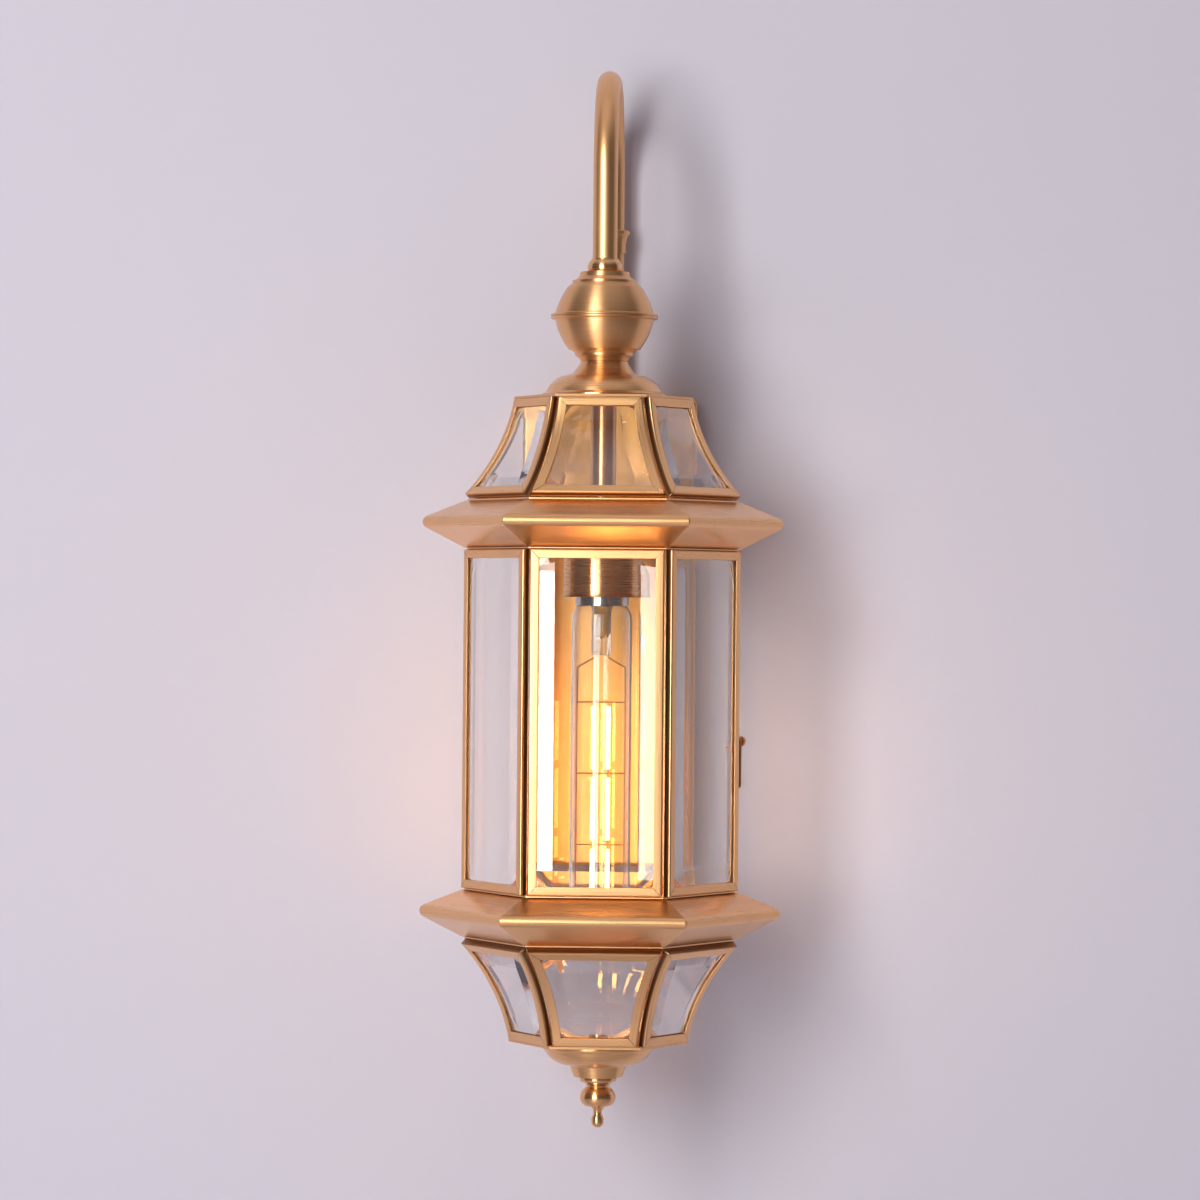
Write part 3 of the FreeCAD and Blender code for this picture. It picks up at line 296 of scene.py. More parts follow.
@dataclass(frozen=True)
class BrushedBrass:
    """Brushed brass under a thin lacquer, browner where it was handled, with painted shade and patina
    darkening its recesses.
    """

    grain: Grain
    dark: Colour = (0.80, 0.44, 0.19)
    light: Colour = (0.87, 0.49, 0.22)
    brown: Colour = (0.60, 0.31, 0.13)
    # Painted shade: dark colour laid into the frames' folds and gaps by their depth, with some patina.
    recess_shade_colour: Colour = (0.14, 0.062, 0.028)
    fine_scale: float = 2600.0
    fine_detail: float = 3.0
    fine_share: float = 0.7
    broad_scale: float = 420.0
    broad_detail: float = 2.0
    streak_run: float = 0.010
    ring_run: float = 0.0004
    streak_range: Range = (0.34, 0.66)
    patch_scale: float = 30.0
    patch_detail: float = 3.0
    patch_range: Range = (0.54, 0.78)
    patch_share: float = 0.35
    recess_shade_start: Range = (0.7, 1.8)
    recess_shade_share: float = 0.85
    recess_shade_end: Range = (3.0, 3.7)
    recess_shade_left: float = 0.2
    relief: float = 0.06
    relief_depth: float = 0.05 * MILLIMETRE
    smooth: float = 0.25
    rough: float = 0.35
    ring_stretch: float = 0.88
    stretch_turn: float = 0.25
    lacquer: float = 0.25
    lacquer_rough: float = 0.12

    def direction(self, maker: ShaderMaker) -> Tuple[Wire, Any]:
        """Coordinates that hardly change along the brush marks.

        Args:
            maker: Maker of the material's nodes.

        Returns:
            A vector and a fourth part.
        """
        x, y, z = maker.split(maker.place())
        if self.grain is Grain.RINGS:
            across = x - AXIS.x
            away = y - AXIS.y
            reach = length(across, away)
            return maker.join(across / reach * self.ring_run, away / reach * self.ring_run, z), reach
        if self.grain is Grain.TUBE:
            low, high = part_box("arm_tube")
            tube = high.x - low.x
            bend = (high.y - low.y - tube) / 2.0
            level = high.z - tube / 2.0 - bend
            reach = length(y - (low.y + high.y) / 2.0, (z - level).at_least(0.0))
            return maker.join(x, reach, (y + z) * self.streak_run), 0.0
        if self.grain is Grain.UPRIGHT:
            return maker.join(x, y, z * self.streak_run), 0.0
        along, across, _ = maker.split(maker.add("ShaderNodeUVMap", {"uv_map": GRAIN_MAP}))
        return maker.join(along * self.streak_run, across, (x + y) * self.streak_run), 0.0

    def recess_shade(self, maker: ShaderMaker) -> Wire:
        """Share of painted shade and patina by the depth below a frame's face.

        Args:
            maker: Maker of the material's nodes.

        Returns:
            The share, from 0 to 1.
        """
        depth = maker.add("ShaderNodeAttribute", {"attribute_name": DEPTH_MAP}, output="Fac")
        rise = maker.remap(depth, *self.recess_shade_start, 0.0, self.recess_shade_share)
        return rise * maker.remap(depth, *self.recess_shade_end, 1.0, self.recess_shade_left)

    def material(self) -> bpy.types.Material:
        """Build the material."""
        material, maker = new_material("brass_" + self.grain.value)
        vector, fourth = self.direction(maker)
        fine = maker.noise(vector, self.fine_scale, self.fine_detail, fourth)
        broad = maker.noise(vector, self.broad_scale, self.broad_detail, fourth)
        streak = fine * self.fine_share + broad * (1.0 - self.fine_share)
        metal = maker.blend(maker.remap(streak, *self.streak_range, 0.0, 1.0),
                            opaque(self.dark), opaque(self.light))
        patches = maker.noise(maker.place(), self.patch_scale, self.patch_detail)
        handled = maker.remap(patches, *self.patch_range, 0.0, self.patch_share)
        metal = maker.blend(handled, metal, opaque(self.brown))
        if self.grain is Grain.LENGTHS:
            # Painted shade and patina, darkest down in the folds and the gaps between frames.
            metal = maker.blend(self.recess_shade(maker), metal, opaque(self.recess_shade_colour))
        shader = maker.surface(
            Base_Color=metal, Metallic=1.0,
            Roughness=maker.remap(streak, *self.streak_range, self.smooth, self.rough),
            Anisotropic=self.ring_stretch if self.grain is Grain.RINGS else 0.0,
            Anisotropic_Rotation=self.stretch_turn,
            Coat_Weight=self.lacquer, Coat_Roughness=self.lacquer_rough,
            Normal=maker.bump(fine, self.relief, self.relief_depth))
        maker.show(shader)
        return material


@dataclass(frozen=True)
class ClearGlass:
    """Clear glass that lets the lamps shine through."""

    name: str
    tint: Colour = (0.985, 0.99, 0.985)
    shade: Colour = (0.80, 0.80, 0.80)
    index: float = 1.25

    def material(self) -> bpy.types.Material:
        """Build the material."""
        material, maker = new_material(self.name)
        glass = maker.surface(Base_Color=opaque(self.tint), Roughness=0.0, IOR=self.index,
                              Transmission_Weight=1.0, Coat_Weight=1.0, Coat_Roughness=0.0)
        clear = maker.add("ShaderNodeBsdfTransparent", None, {"Color": opaque(self.shade)})
        shadow = maker.add("ShaderNodeLightPath", output="Is Shadow Ray")
        maker.show(maker.add("ShaderNodeMixShader", None, {0: shadow, 1: glass, 2: clear}))
        return material


@dataclass(frozen=True)
class PlainFinish:
    """Finish of one colour and one gloss."""

    name: str
    colour: Colour
    metallic: float
    roughness: float

    def material(self) -> bpy.types.Material:
        """Build the material."""
        material, maker = new_material(self.name)
        maker.show(maker.surface(Base_Color=opaque(self.colour), Metallic=self.metallic,
                                 Roughness=self.roughness))
        return material


@dataclass(frozen=True)
class WarmGlow:
    """Lit phosphor of the filament rods."""

    colour: Colour = (1.0, 0.50, 0.12)
    strength: float = 54.0
    phosphor: Colour = (0.9, 0.6, 0.2)
    roughness: float = 0.6

    def material(self) -> bpy.types.Material:
        """Build the material."""
        material, maker = new_material("warm_glow")
        maker.show(maker.surface(Base_Color=opaque(self.phosphor), Roughness=self.roughness,
                                 Emission_Color=opaque(self.colour), Emission_Strength=self.strength))
        return material


# Work on meshes

def dress(piece: bpy.types.Object, *materials: bpy.types.Material) -> None:
    """Give a piece its materials in place of those that it had.

    Args:
        piece: The piece.
        materials: Its new materials, in order.
    """
    piece.data.materials.clear()
    for material in materials:
        piece.data.materials.append(material)


def pick(*pieces: bpy.types.Object) -> None:
    """Select some pieces alone.

    Args:
        pieces: The pieces, of which the first one becomes active.
    """
    bpy.ops.object.select_all(action="DESELECT")
    for piece in pieces:
        piece.select_set(True)
    bpy.context.view_layer.objects.active = pieces[0]


@contextmanager
def editing(piece: bpy.types.Object) -> Iterator[None]:
    """Edit mode on one piece with all of it selected.

    Args:
        piece: The piece.

    Yields:
        Nothing, while edit mode lasts.
    """
    pick(piece)
    bpy.ops.object.mode_set(mode="EDIT")
    bpy.ops.mesh.select_all(action="SELECT")
    yield
    bpy.ops.object.mode_set(mode="OBJECT")


def settle(piece: bpy.types.Object, node: str, slot: str, *materials: bpy.types.Material) -> None:
    """Dress a finished piece and let it stand for a solid on that solid's body.

    Args:
        piece: The piece, in its place.
        node: Solid that the piece stands for.
        slot: The record's name for its finish; not used.
        materials: Its finishes, or none to keep those that it has.
    """
    if materials:
        dress(piece, *materials)
    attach(piece, body_of(NODES[node])[0])
    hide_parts(node)
    LOG.info("%s: %d faces", piece.name, len(piece.data.polygons))


def copied(node: str, name: str) -> bpy.types.Object:
    """Copy a solid's mesh, merged and with its flat triangles made one face.

    Args:
        node: Name of the solid.
        name: Name of the new piece.

    Returns:
        The new piece.
    """
    piece = bpy.data.objects.new(name, NODES[node].data.copy())
    bpy.context.scene.collection.objects.link(piece)
    with editing(piece):
        bpy.ops.mesh.customdata_custom_splitnormals_clear()
        bpy.ops.mesh.remove_doubles(threshold=MERGE_GAP)
        bpy.ops.mesh.mark_sharp(clear=True)
        bpy.ops.mesh.faces_shade_smooth()
        bpy.ops.mesh.dissolve_limited(angle_limit=FLAT_ANGLE)
    return piece


def twin(piece: bpy.types.Object, name: str) -> bpy.types.Object:
    """Copy a new piece.

    Args:
        piece: The piece.
        name: Name of the copy.

    Returns:
        The copy, with a mesh of its own.
    """
    other = bpy.data.objects.new(name, piece.data.copy())
    bpy.context.scene.collection.objects.link(other)
    return other


def cut_away(piece: bpy.types.Object, point: Vector, normal: Vector) -> None:
    """Cut a piece with a plane, close the cut and drop what lies on the normal's side."""
    with editing(piece):
        bpy.ops.mesh.bisect(plane_co=point, plane_no=normal, use_fill=True, clear_outer=True)


def smooth_by_angle(piece: bpy.types.Object, degrees: float) -> None:
    """Shade a piece smooth except over edges sharper than an angle."""
    pick(piece)
    bpy.ops.object.shade_smooth_by_angle(angle=math.radians(degrees))


def even_out(piece: bpy.types.Object) -> None:
    """Let the large faces set the normals of a rounded piece.

    Args:
        piece: The piece.
    """
    even = piece.modifiers.new("even", "WEIGHTED_NORMAL")
    even.keep_sharp = True
    pick(piece)
    bpy.ops.object.modifier_apply(modifier=even.name)


def round_edges(piece: bpy.types.Object, width: float, segments: int,
                share: Callable[[bmesh.types.BMEdge], float]) -> None:
    """Round a piece's edges by a bevel whose width is shared out edge by edge.

    Args:
        piece: The piece.
        width: Width of the widest bevel.
        segments: Steps across a bevel.
        share: Part of that width that an edge gets, from 0 to 1.
    """
    mesh = bmesh.new()
    mesh.from_mesh(piece.data)
    weight = mesh.edges.layers.float.new("bevel_weight_edge")
    for edge in mesh.edges:
        if len(edge.link_faces) == 2:
            edge[weight] = share(edge)
    mesh.to_mesh(piece.data)
    mesh.free()
    bevel = piece.modifiers.new("round", "BEVEL")
    bevel.limit_method = "WEIGHT"
    bevel.width = width
    bevel.segments = segments
    bevel.use_clamp_overlap = False
    pick(piece)
    bpy.ops.object.modifier_apply(modifier=bevel.name)
    piece.data.attributes.remove(piece.data.attributes["bevel_weight_edge"])


def lay_grain(piece: bpy.types.Object, rule: Callable[[Vector, Vector], Tuple[float, float]]) -> None:
    """Write the map of a piece's brush marks.

    Args:
        piece: The piece.
        rule: Distances along and across the marks from a point and its face's centre.
    """
    layer = piece.data.uv_layers.get(GRAIN_MAP) or piece.data.uv_layers.new(name=GRAIN_MAP)
    for face in piece.data.polygons:
        for loop in face.loop_indices:
            point = piece.data.vertices[piece.data.loops[loop].vertex_index].co
            layer.data[loop].uv = rule(point, face.center)


# Frames of the panes

@dataclass(frozen=True)
class Corner:
    """Outer corner of a frame, with the ways from it along its rail and its stile."""

    point: Vector
    rail: Vector
    stile: Vector

    @property
    def seam(self) -> Vector:
        """Normal of the mitre, towards the rail."""
        return (self.rail - self.stile).normalized()


@dataclass
class FrameOutline:
    """Outer corners and left edge of a front panel's frame, read from its solid."""

    node: str
    wide_end: int
    near: float = 0.3 * MILLIMETRE
    front_pull: float = 2.0
    sharp: float = math.radians(30.0)
    steep: float = 0.5
    edge: Curve = field(init=False)
    centre: Vector = field(init=False)
    corners: Dict[Tuple[int, int], Corner] = field(init=False)

    def __post_init__(self) -> None:
        """Read the solid."""
        blank = copied(self.node, "outline")
        mesh = bmesh.new()
        mesh.from_mesh(blank.data)
        self.edge = self.walk(self.left_corner(mesh, -1), 1)
        self.edge[-1] = self.left_corner(mesh, 1).co.copy()
        down = self.walk(self.left_corner(mesh, 1), -1)
        self.centre = (self.edge[0] + self.edge[-1]) / 2.0
        self.centre.x = AXIS.x
        ways = {-1: self.edge[1] - self.edge[0], 1: down[1] - down[0]}
        points = {-1: self.edge[0], 1: self.edge[-1]}
        self.corners = {(side, end): self.corner(points[end], ways[end].normalized(), side)
                        for side in BOTH_WAYS for end in BOTH_WAYS}
        mesh.free()
        bpy.data.objects.remove(blank)

    def left_corner(self, mesh: bmesh.types.BMesh, end: int) -> bmesh.types.BMVert:
        """Outer corner at the left.

        Args:
            mesh: The solid's merged mesh.
            end: -1 for the lower corner, 1 for the upper one.

        Returns:
            The corner's vertex.
        """
        if end == self.wide_end:
            front = min(vertex.co.y for vertex in mesh.verts)
            close = [vertex for vertex in mesh.verts if vertex.co.y < front + self.near]
            return max(close, key=lambda vertex: end * vertex.co.z - vertex.co.x)
        last = max(end * vertex.co.z for vertex in mesh.verts)
        close = [vertex for vertex in mesh.verts if end * vertex.co.z > last - self.near]
        return max(close, key=lambda vertex: -self.front_pull * vertex.co.y - vertex.co.x)

    def walk(self, start: bmesh.types.BMVert, way: int) -> Curve:
        """Follow the outer edge from a corner.

        Args:
            start: The corner's vertex.
            way: 1 to go up, -1 to go down.

        Returns:
            The points passed, with the corner first.
        """
        curve = [start.co.copy()]
        vertex = start
        while True:
            rises = [(way * (edge.other_vert(vertex).co.z - vertex.co.z) / edge.calc_length(), edge)
                     for edge in vertex.link_edges if edge.calc_face_angle(0.0) > self.sharp]
            rise, edge = max(rises, key=lambda pair: pair[0])
            if rise < self.steep:
                return curve
            vertex = edge.other_vert(vertex)
            curve.append(vertex.co.copy())

    def corner(self, point: Vector, way: Vector, side: int) -> Corner:
        """Corner on one side from the left one.

        Args:
            point: The left corner.
            way: Way from it along the stile.
            side: -1 for the left corner itself, 1 for its mirror image.

        Returns:
            The corner.
        """
        flip = Vector((-side, 1.0, 1.0))
        place = Vector((-side * (point.x - AXIS.x) + AXIS.x, point.y, point.z))
        return Corner(place, Vector((-side, 0.0, 0.0)), way * flip)

    def left_edge_at(self, level: float) -> Vector:
        """Point of the left outer edge at a level.

        Args:
            level: The level, in metres.

        Returns:
            The point, or the edge's upper end if the level lies above it.
        """
        for low, high in zip(self.edge, self.edge[1:]):
            if level <= high.z:
                return low.lerp(high, (level - low.z) / (high.z - low.z))
        return self.edge[-1]


@dataclass
class MitredFrame:
    """A panel's folded frame, as four brushed lengths that meet in mitres."""

    node: str
    face: Face
    outline: FrameOutline
    fold: float = 0.8 * MILLIMETRE
    fold_steps: int = 3
    fold_angle: float = math.radians(30.0)
    cut_share: float = 0.20
    seam_share: float = 0.30
    seam_match: float = 0.999
    seam_reach: float = 0.3
    seam_dark_depth: float = 2.0
    narrow: float = 1.0 * MILLIMETRE
    slack: float = 0.05 * MILLIMETRE
    stile_slope: float = 0.7
    rail_slope: float = 0.6
    smooth_angle: float = 38.0

    def build(self, name: str) -> bpy.types.Object:
        """Cut the solid's mesh into lengths, round their folds and join them.

        Args:
            name: Name of the finished piece.

        Returns:
            The frame, in its place.
        """
        blank = copied(self.node, "blank")
        blank.data.transform(self.face.turn(-1.0))
        lengths = [self.stile(blank, side) for side in BOTH_WAYS]
        lengths += [self.rail(blank, end) for end in BOTH_WAYS]
        bpy.data.objects.remove(blank)
        pick(*lengths)
        bpy.ops.object.join()
        piece = lengths[0]
        piece.name = name
        smooth_by_angle(piece, self.smooth_angle)
        even_out(piece)
        piece.data.transform(self.face.turn())
        return piece

    def stile(self, blank: bpy.types.Object, side: int) -> bpy.types.Object:
        """Cut one upright length.

        Args:
            blank: The whole frame at the front.
            side: -1 for the left length, 1 for the right one.

        Returns:
            The length, rounded and with its grain.
        """
        piece = twin(blank, "stile")
        cut_away(piece, self.outline.centre, Vector((-side, 0.0, 0.0)))
        for end in BOTH_WAYS:
            corner = self.outline.corners[side, end]
            cut_away(piece, corner.point, corner.seam)
        self.finish(piece)
        lay_grain(piece, lambda point, _: self.stile_grain(point, side))
        return piece

    def stile_grain(self, point: Vector, side: int) -> Tuple[float, float]:
        """Distances along and across a stile's brush marks.

        Args:
            point: Point of the stile.
            side: -1 for the left stile, 1 for the right one.

        Returns:
            The two distances.
        """
        edge = self.outline.left_edge_at(point.z)
        inwards = side * (point.x - AXIS.x) + (edge.x - AXIS.x)
        return point.z, inwards + self.stile_slope * (point.y - edge.y)

    def rail(self, blank: bpy.types.Object, end: int) -> bpy.types.Object:
        """Cut one level length.

        Args:
            blank: The whole frame at the front.
            end: -1 for the length at the foot, 1 for the one at the head.

        Returns:
            The length, rounded and with its grain.
        """
        piece = twin(blank, "rail")
        cut_away(piece, self.outline.centre, Vector((0.0, 0.0, -end)))
        for side in BOTH_WAYS:
            corner = self.outline.corners[side, end]
            cut_away(piece, corner.point, -corner.seam)
        self.finish(piece)
        lay_grain(piece, lambda point, _: (point.x, point.z + self.rail_slope * point.y))
        return piece

    def finish(self, piece: bpy.types.Object) -> None:
        """Tidy the cuts, round the folds, the cut edges and the seams, and note the depth that sets the
        painted shade.

        Args:
            piece: The length.
        """
        with editing(piece):
            bpy.ops.mesh.dissolve_limited(angle_limit=FLAT_ANGLE)
        round_edges(piece, self.fold, self.fold_steps, self.share)
        depth = piece.data.attributes.new(DEPTH_MAP, "FLOAT", "POINT")
        for vertex, value in zip(piece.data.vertices, depth.data):
            value.value = self.shade_depth(vertex.co)

    def shade_depth(self, point: Vector) -> float:
        """Depth below the frame's face that sets the painted shade and patina at a point, fixed at the
        mitre seams so that they come out dark.

        Args:
            point: Point of a length.

        Returns:
            The depth, in millimetres.
        """
        reach = self.seam_reach * self.seam_share * self.fold
        for corner in self.outline.corners.values():
            # Mitre seams are darkened fully: dark joints with painted shade in them.
            if abs((point - corner.point).dot(corner.seam)) < reach:
                return self.seam_dark_depth
        return (point.y - self.outline.left_edge_at(point.z).y) / MILLIMETRE

    def share(self, edge: bmesh.types.BMEdge) -> float:
        """Part of the fold's rounding that an edge gets.

        Args:
            edge: Edge of a length.

        Returns:
            The part, from 0 to 1.
        """
        if edge.calc_face_angle_signed(0.0) < self.fold_angle:
            return 0.0
        if any(self.on_knuckle(vertex.co) for vertex in edge.verts):
            return 0.0
        seams = [corner.seam for corner in self.outline.corners.values()]
        if any(abs(face.normal.dot(seam)) > self.seam_match for face in edge.link_faces for seam in seams):
            return self.seam_share
        width = min(face.calc_area() / edge.calc_length() for face in edge.link_faces)
        return 1.0 if width > self.narrow else self.cut_share

    def on_knuckle(self, point: Vector) -> bool:
        """Whether a point lies outside the frame's outline, on a hinge knuckle.

        Args:
            point: Point of a length.

        Returns:
            True on a knuckle.
        """
        edge = self.outline.left_edge_at(point.z)
        aside = abs(point.x - AXIS.x) > abs(edge.x - AXIS.x) + self.slack
        return aside or point.y < edge.y - self.slack


@dataclass
class PanelFrames:
    """All folded frames of the roof, the body and the base."""

    material: bpy.types.Material

    def build(self) -> None:
        """Model each kind of frame once and copy it round the hexagon."""
        self.ring("roof_frame", FrameOutline("roof_frame_front", -1), list(Face))
        self.ring("base_frame", FrameOutline("base_frame_front", 1), list(Face))
        outline = FrameOutline("body_frame_front", -1)
        plain = [Face.FRONT, Face.FRONT_RIGHT, Face.REAR_LEFT, Face.FRONT_LEFT]
        self.ring("body_frame", outline, plain)
        for node, face in (("body_frame_rear", Face.REAR), ("door_frame", Face.REAR_RIGHT)):
            piece = MitredFrame(node, face, outline).build("mitred_" + node)
            settle(piece, node, BRASS_SLOT, self.material)

    def ring(self, stem: str, outline: FrameOutline, faces: Sequence[Face]) -> None:
        """Model the front frame and copy it to the other sides.

        Args:
            stem: Beginning of the solids' names.
            outline: Outline of the front frame.
            faces: Sides to fill, the front first.
        """
        model = MitredFrame(outline.node, Face.FRONT, outline).build("mitred_" + outline.node)
        for face in faces:
            node = stem + "_" + face.word
            piece = model
            if face is not Face.FRONT:
                piece = twin(model, "mitred_" + node)
                piece.data.transform(face.turn())
            settle(piece, node, BRASS_SLOT, self.material)


# Cornices

@dataclass
class Cornice:
    """Pointed moulding between two tiers, in six lengths that meet in ridges."""

    node: str
    ridge: float = 0.45 * MILLIMETRE
    ridge_steps: int = 3
    ridge_angle: float = math.radians(12.0)
    slack: float = 0.4
    slope: float = 0.6
    smooth_angle: float = 33.0

    def build(self, material: bpy.types.Material) -> None:
        """Round the ridges and lay the grain along each length.

        Args:
            material: Brass brushed along its lengths.
        """
        piece = copied(self.node, "moulded_" + self.node)
        round_edges(piece, self.ridge, self.ridge_steps, self.share)
        lay_grain(piece, self.grain)
        smooth_by_angle(piece, self.smooth_angle)
        even_out(piece)
        settle(piece, self.node, BRASS_SLOT, material)

    def share(self, edge: bmesh.types.BMEdge) -> float:
        """Part of the rounding that an edge gets: all of it on a ridge, none elsewhere.

        Args:
            edge: Edge of the moulding.

        Returns:
            0 or 1.
        """
        if edge.calc_face_angle_signed(0.0) < self.ridge_angle:
            return 0.0
        return float(all(abs(self.off_ridge(vertex.co)) < self.slack for vertex in edge.verts))

    @staticmethod
    def bearing(point: Vector) -> float:
        """Angle of a point round the axis from the front, in degrees."""
        return math.degrees(math.atan2(point.x - AXIS.x, AXIS.y - point.y))

    def off_ridge(self, point: Vector) -> float:
        """Angle from a point to the nearest ridge, in degrees."""
        return (self.bearing(point) + SIDE_ANGLE) % SIDE_ANGLE - SIDE_ANGLE / 2.0

    def grain(self, point: Vector, centre: Vector) -> Tuple[float, float]:
        """Distances along and across the brush marks of the length that holds a face.

        Args:
            point: Point of the face.
            centre: Centre of the face.

        Returns:
            The two distances.
        """
        side = Face(round(self.bearing(centre) / SIDE_ANGLE) % SIDES)
        flat = side.turn(-1.0) @ point
        return flat.x, flat.z + self.slope * flat.y


# Lamp

@dataclass
class LampWires:
    """Bent lead wires and lit rods inside the lamp."""

    lead: bpy.types.Material
    glow: bpy.types.Material
    root: Tuple[float, float] = (3.2 * MILLIMETRE, -10.0 * MILLIMETRE)
    bend_level: float = -12.0 * MILLIMETRE
    shoulder: Tuple[float, float] = (11.8 * MILLIMETRE, -17.0 * MILLIMETRE)
    rods_top: float = -34.0 * MILLIMETRE
    rods_pitch: float = 34.9 * MILLIMETRE
    tiers: int = 3
    rod_length: float = 30.4 * MILLIMETRE
    rod_spread: float = 3.7 * MILLIMETRE
    rod_radius: float = 0.95 * MILLIMETRE
    rod_sides: int = 16
    rod_edge: float = 0.35 * MILLIMETRE
    rod_edge_steps: int = 2
    rod_edge_angle: float = math.radians(60.0)
    lead_radius: float = 0.34 * MILLIMETRE
    lead_rounding: int = 2
    lead_order: int = 3
    ease: float = 1.6 * MILLIMETRE
    smooth_angle: float = 40.0

    def build(self) -> None:
        """Add the wires and the rods as one piece in place of their plain solid."""
        levels = [self.rods_top - tier * self.rods_pitch for tier in range(self.tiers + 1)]
        parts = []
        for way in BOTH_WAYS:
            root = way * self.root[0]
            shoulder = way * self.shoulder[0]
            rods = way * self.rod_spread
            parts.append(self.wire([(root, self.root[1]), (root, self.bend_level),
                                    (shoulder, self.shoulder[1]), (shoulder, levels[-1])]))
            parts.append(self.wire([(rods, levels[0]), (rods, levels[-1])]))
            parts += [self.rod(rods, level - self.rods_pitch / 2.0) for level in levels[:-1]]
        parts += [self.wire([(-self.shoulder[0], level), (self.shoulder[0], level)]) for level in levels]
        pick(*parts)
        bpy.ops.object.join()
        parts[0].name = "lamp_wires"
        smooth_by_angle(parts[0], self.smooth_angle)
        settle(parts[0], "bulb_filament", "filament")

    def eased(self, corner: Vector, other: Vector) -> Vector:
        """Point where a bend begins, from its corner towards the next point."""
        way = other - corner
        return corner + way.normalized() * min(self.ease, way.length / 2)

    def wire(self, points: Sequence[Tuple[float, float]]) -> bpy.types.Object:
        """Bend a wire through points.

        Args:
            points: Distance from the axis and level of each point.

        Returns:
            The wire.
        """
        places = [Vector((AXIS.x + x, AXIS.y, z)) for x, z in points]
        route = [places[0]]
        for before, corner, after in zip(places, places[1:], places[2:]):
            route += [self.eased(corner, before), corner, self.eased(corner, after)]
        route.append(places[-1])
        line = bpy.data.curves.new("lead", "CURVE")
        line.dimensions = "3D"
        line.bevel_depth = self.lead_radius
        line.bevel_resolution = self.lead_rounding
        spline = line.splines.new("NURBS")
        spline.points.add(len(route) - 1)
        for point, place in zip(spline.points, route):
            point.co = (*place, 1.0)
        spline.order_u = min(self.lead_order, len(route))
        spline.use_endpoint_u = True
        wire = bpy.data.objects.new("lead", line)
        bpy.context.scene.collection.objects.link(wire)
        pick(wire)
        bpy.ops.object.convert(target="MESH")
        dress(wire, self.lead)
        return wire

    def rod(self, across: float, level: float) -> bpy.types.Object:
        """Add one lit rod.

        Args:
            across: Distance from the axis.
            level: Level of its middle.

        Returns:
            The rod.
        """
        bpy.ops.object.select_all(action="DESELECT")
        bpy.ops.mesh.primitive_cylinder_add(vertices=self.rod_sides, radius=self.rod_radius,
                                            depth=self.rod_length,
                                            location=(AXIS.x + across, AXIS.y, level))
        rod = bpy.context.object
        bpy.ops.object.transform_apply(location=True)
        round_edges(rod, self.rod_edge, self.rod_edge_steps,
                    lambda edge: float(edge.calc_face_angle_signed(0.0) > self.rod_edge_angle))
        dress(rod, self.glow)
        return rod


# Camera, stage and lights

@dataclass
class PhotoCamera:
    """Camera at the photograph's place."""

    axis_distance: float = 2.3
    azimuth: float = 2.3
    height: float = 0.016
    lens: float = 140.8
    sensor: float = 36.0
    roll: float = 0.5
    aim_offset: float = 0.001
    nearest: float = 0.01
    farthest: float = 50.0

    def build(self) -> None:
        """Add the camera and make it the scene's own."""
        data = bpy.data.cameras.new("photo_camera")
        data.lens = self.lens
        data.sensor_width = self.sensor
        data.clip_start = self.nearest
        data.clip_end = self.farthest
        camera = bpy.data.objects.new("photo_camera", data)
        bpy.context.scene.collection.objects.link(camera)
        turn = math.radians(self.azimuth)
        away = Vector((math.sin(turn), -math.cos(turn), 0.0))
        aside = Vector((math.cos(turn), math.sin(turn), 0.0))
        foot = Vector((AXIS.x, AXIS.y, self.height)) - aside * self.aim_offset
        camera.location = foot + away * self.axis_distance
        look = (-away).to_track_quat("-Z", "Y").to_matrix().to_4x4()
        camera.rotation_euler = (look @ Matrix.Rotation(math.radians(self.roll), 4, "Z")).to_euler()
        bpy.context.scene.camera = camera


@dataclass
class Stage:
    """Pale wall behind the light and a pale floor far below it."""

    wall_gap: float = 0.0006
    half_width: float = 3.0
    floor_level: float = -0.9
    colour: Colour = (0.625, 0.592, 0.650)

    def build(self) -> None:
        """Add the wall and the floor."""
        wall = self.sheet("wall", (0.0, self.wall_gap, self.half_width + self.floor_level),
                          (math.radians(90.0), 0.0, 0.0))
        wall.visible_diffuse = False
        wall.visible_shadow = False
        floor = self.sheet("floor", (0.0, self.wall_gap - self.half_width, self.floor_level),
                           (0.0, 0.0, 0.0))
        dress(wall, self.paint("wall_paint", True))
        dress(floor, self.paint("floor_paint", False))

    def sheet(self, name: str, place: Sequence[float], turn: Sequence[float]) -> bpy.types.Object:
        """Add one large flat sheet.

        Args:
            name: Name of the sheet.
            place: Its centre.
            turn: Its turns about the three axes.

        Returns:
            The sheet.
        """
        bpy.ops.object.select_all(action="DESELECT")
        bpy.ops.mesh.primitive_plane_add(size=2.0 * self.half_width, location=place, rotation=turn)
        sheet = bpy.context.object
        sheet.name = name
        return sheet

    def paint(self, name: str, one_sided: bool) -> bpy.types.Material:
        """Matt paint.

        Args:
            name: Name of the paint.
            one_sided: Whether it is clear from behind.

        Returns:
            The material.
        """
        material, maker = new_material(name)
        matt = maker.add("ShaderNodeBsdfDiffuse", None, {"Color": opaque(self.colour)})
        if one_sided:
            back = maker.add("ShaderNodeNewGeometry", output="Backfacing")
            clear = maker.add("ShaderNodeBsdfTransparent")
            matt = maker.add("ShaderNodeMixShader", None, {0: back, 1: matt, 2: clear})
        maker.show(matt)
        return material


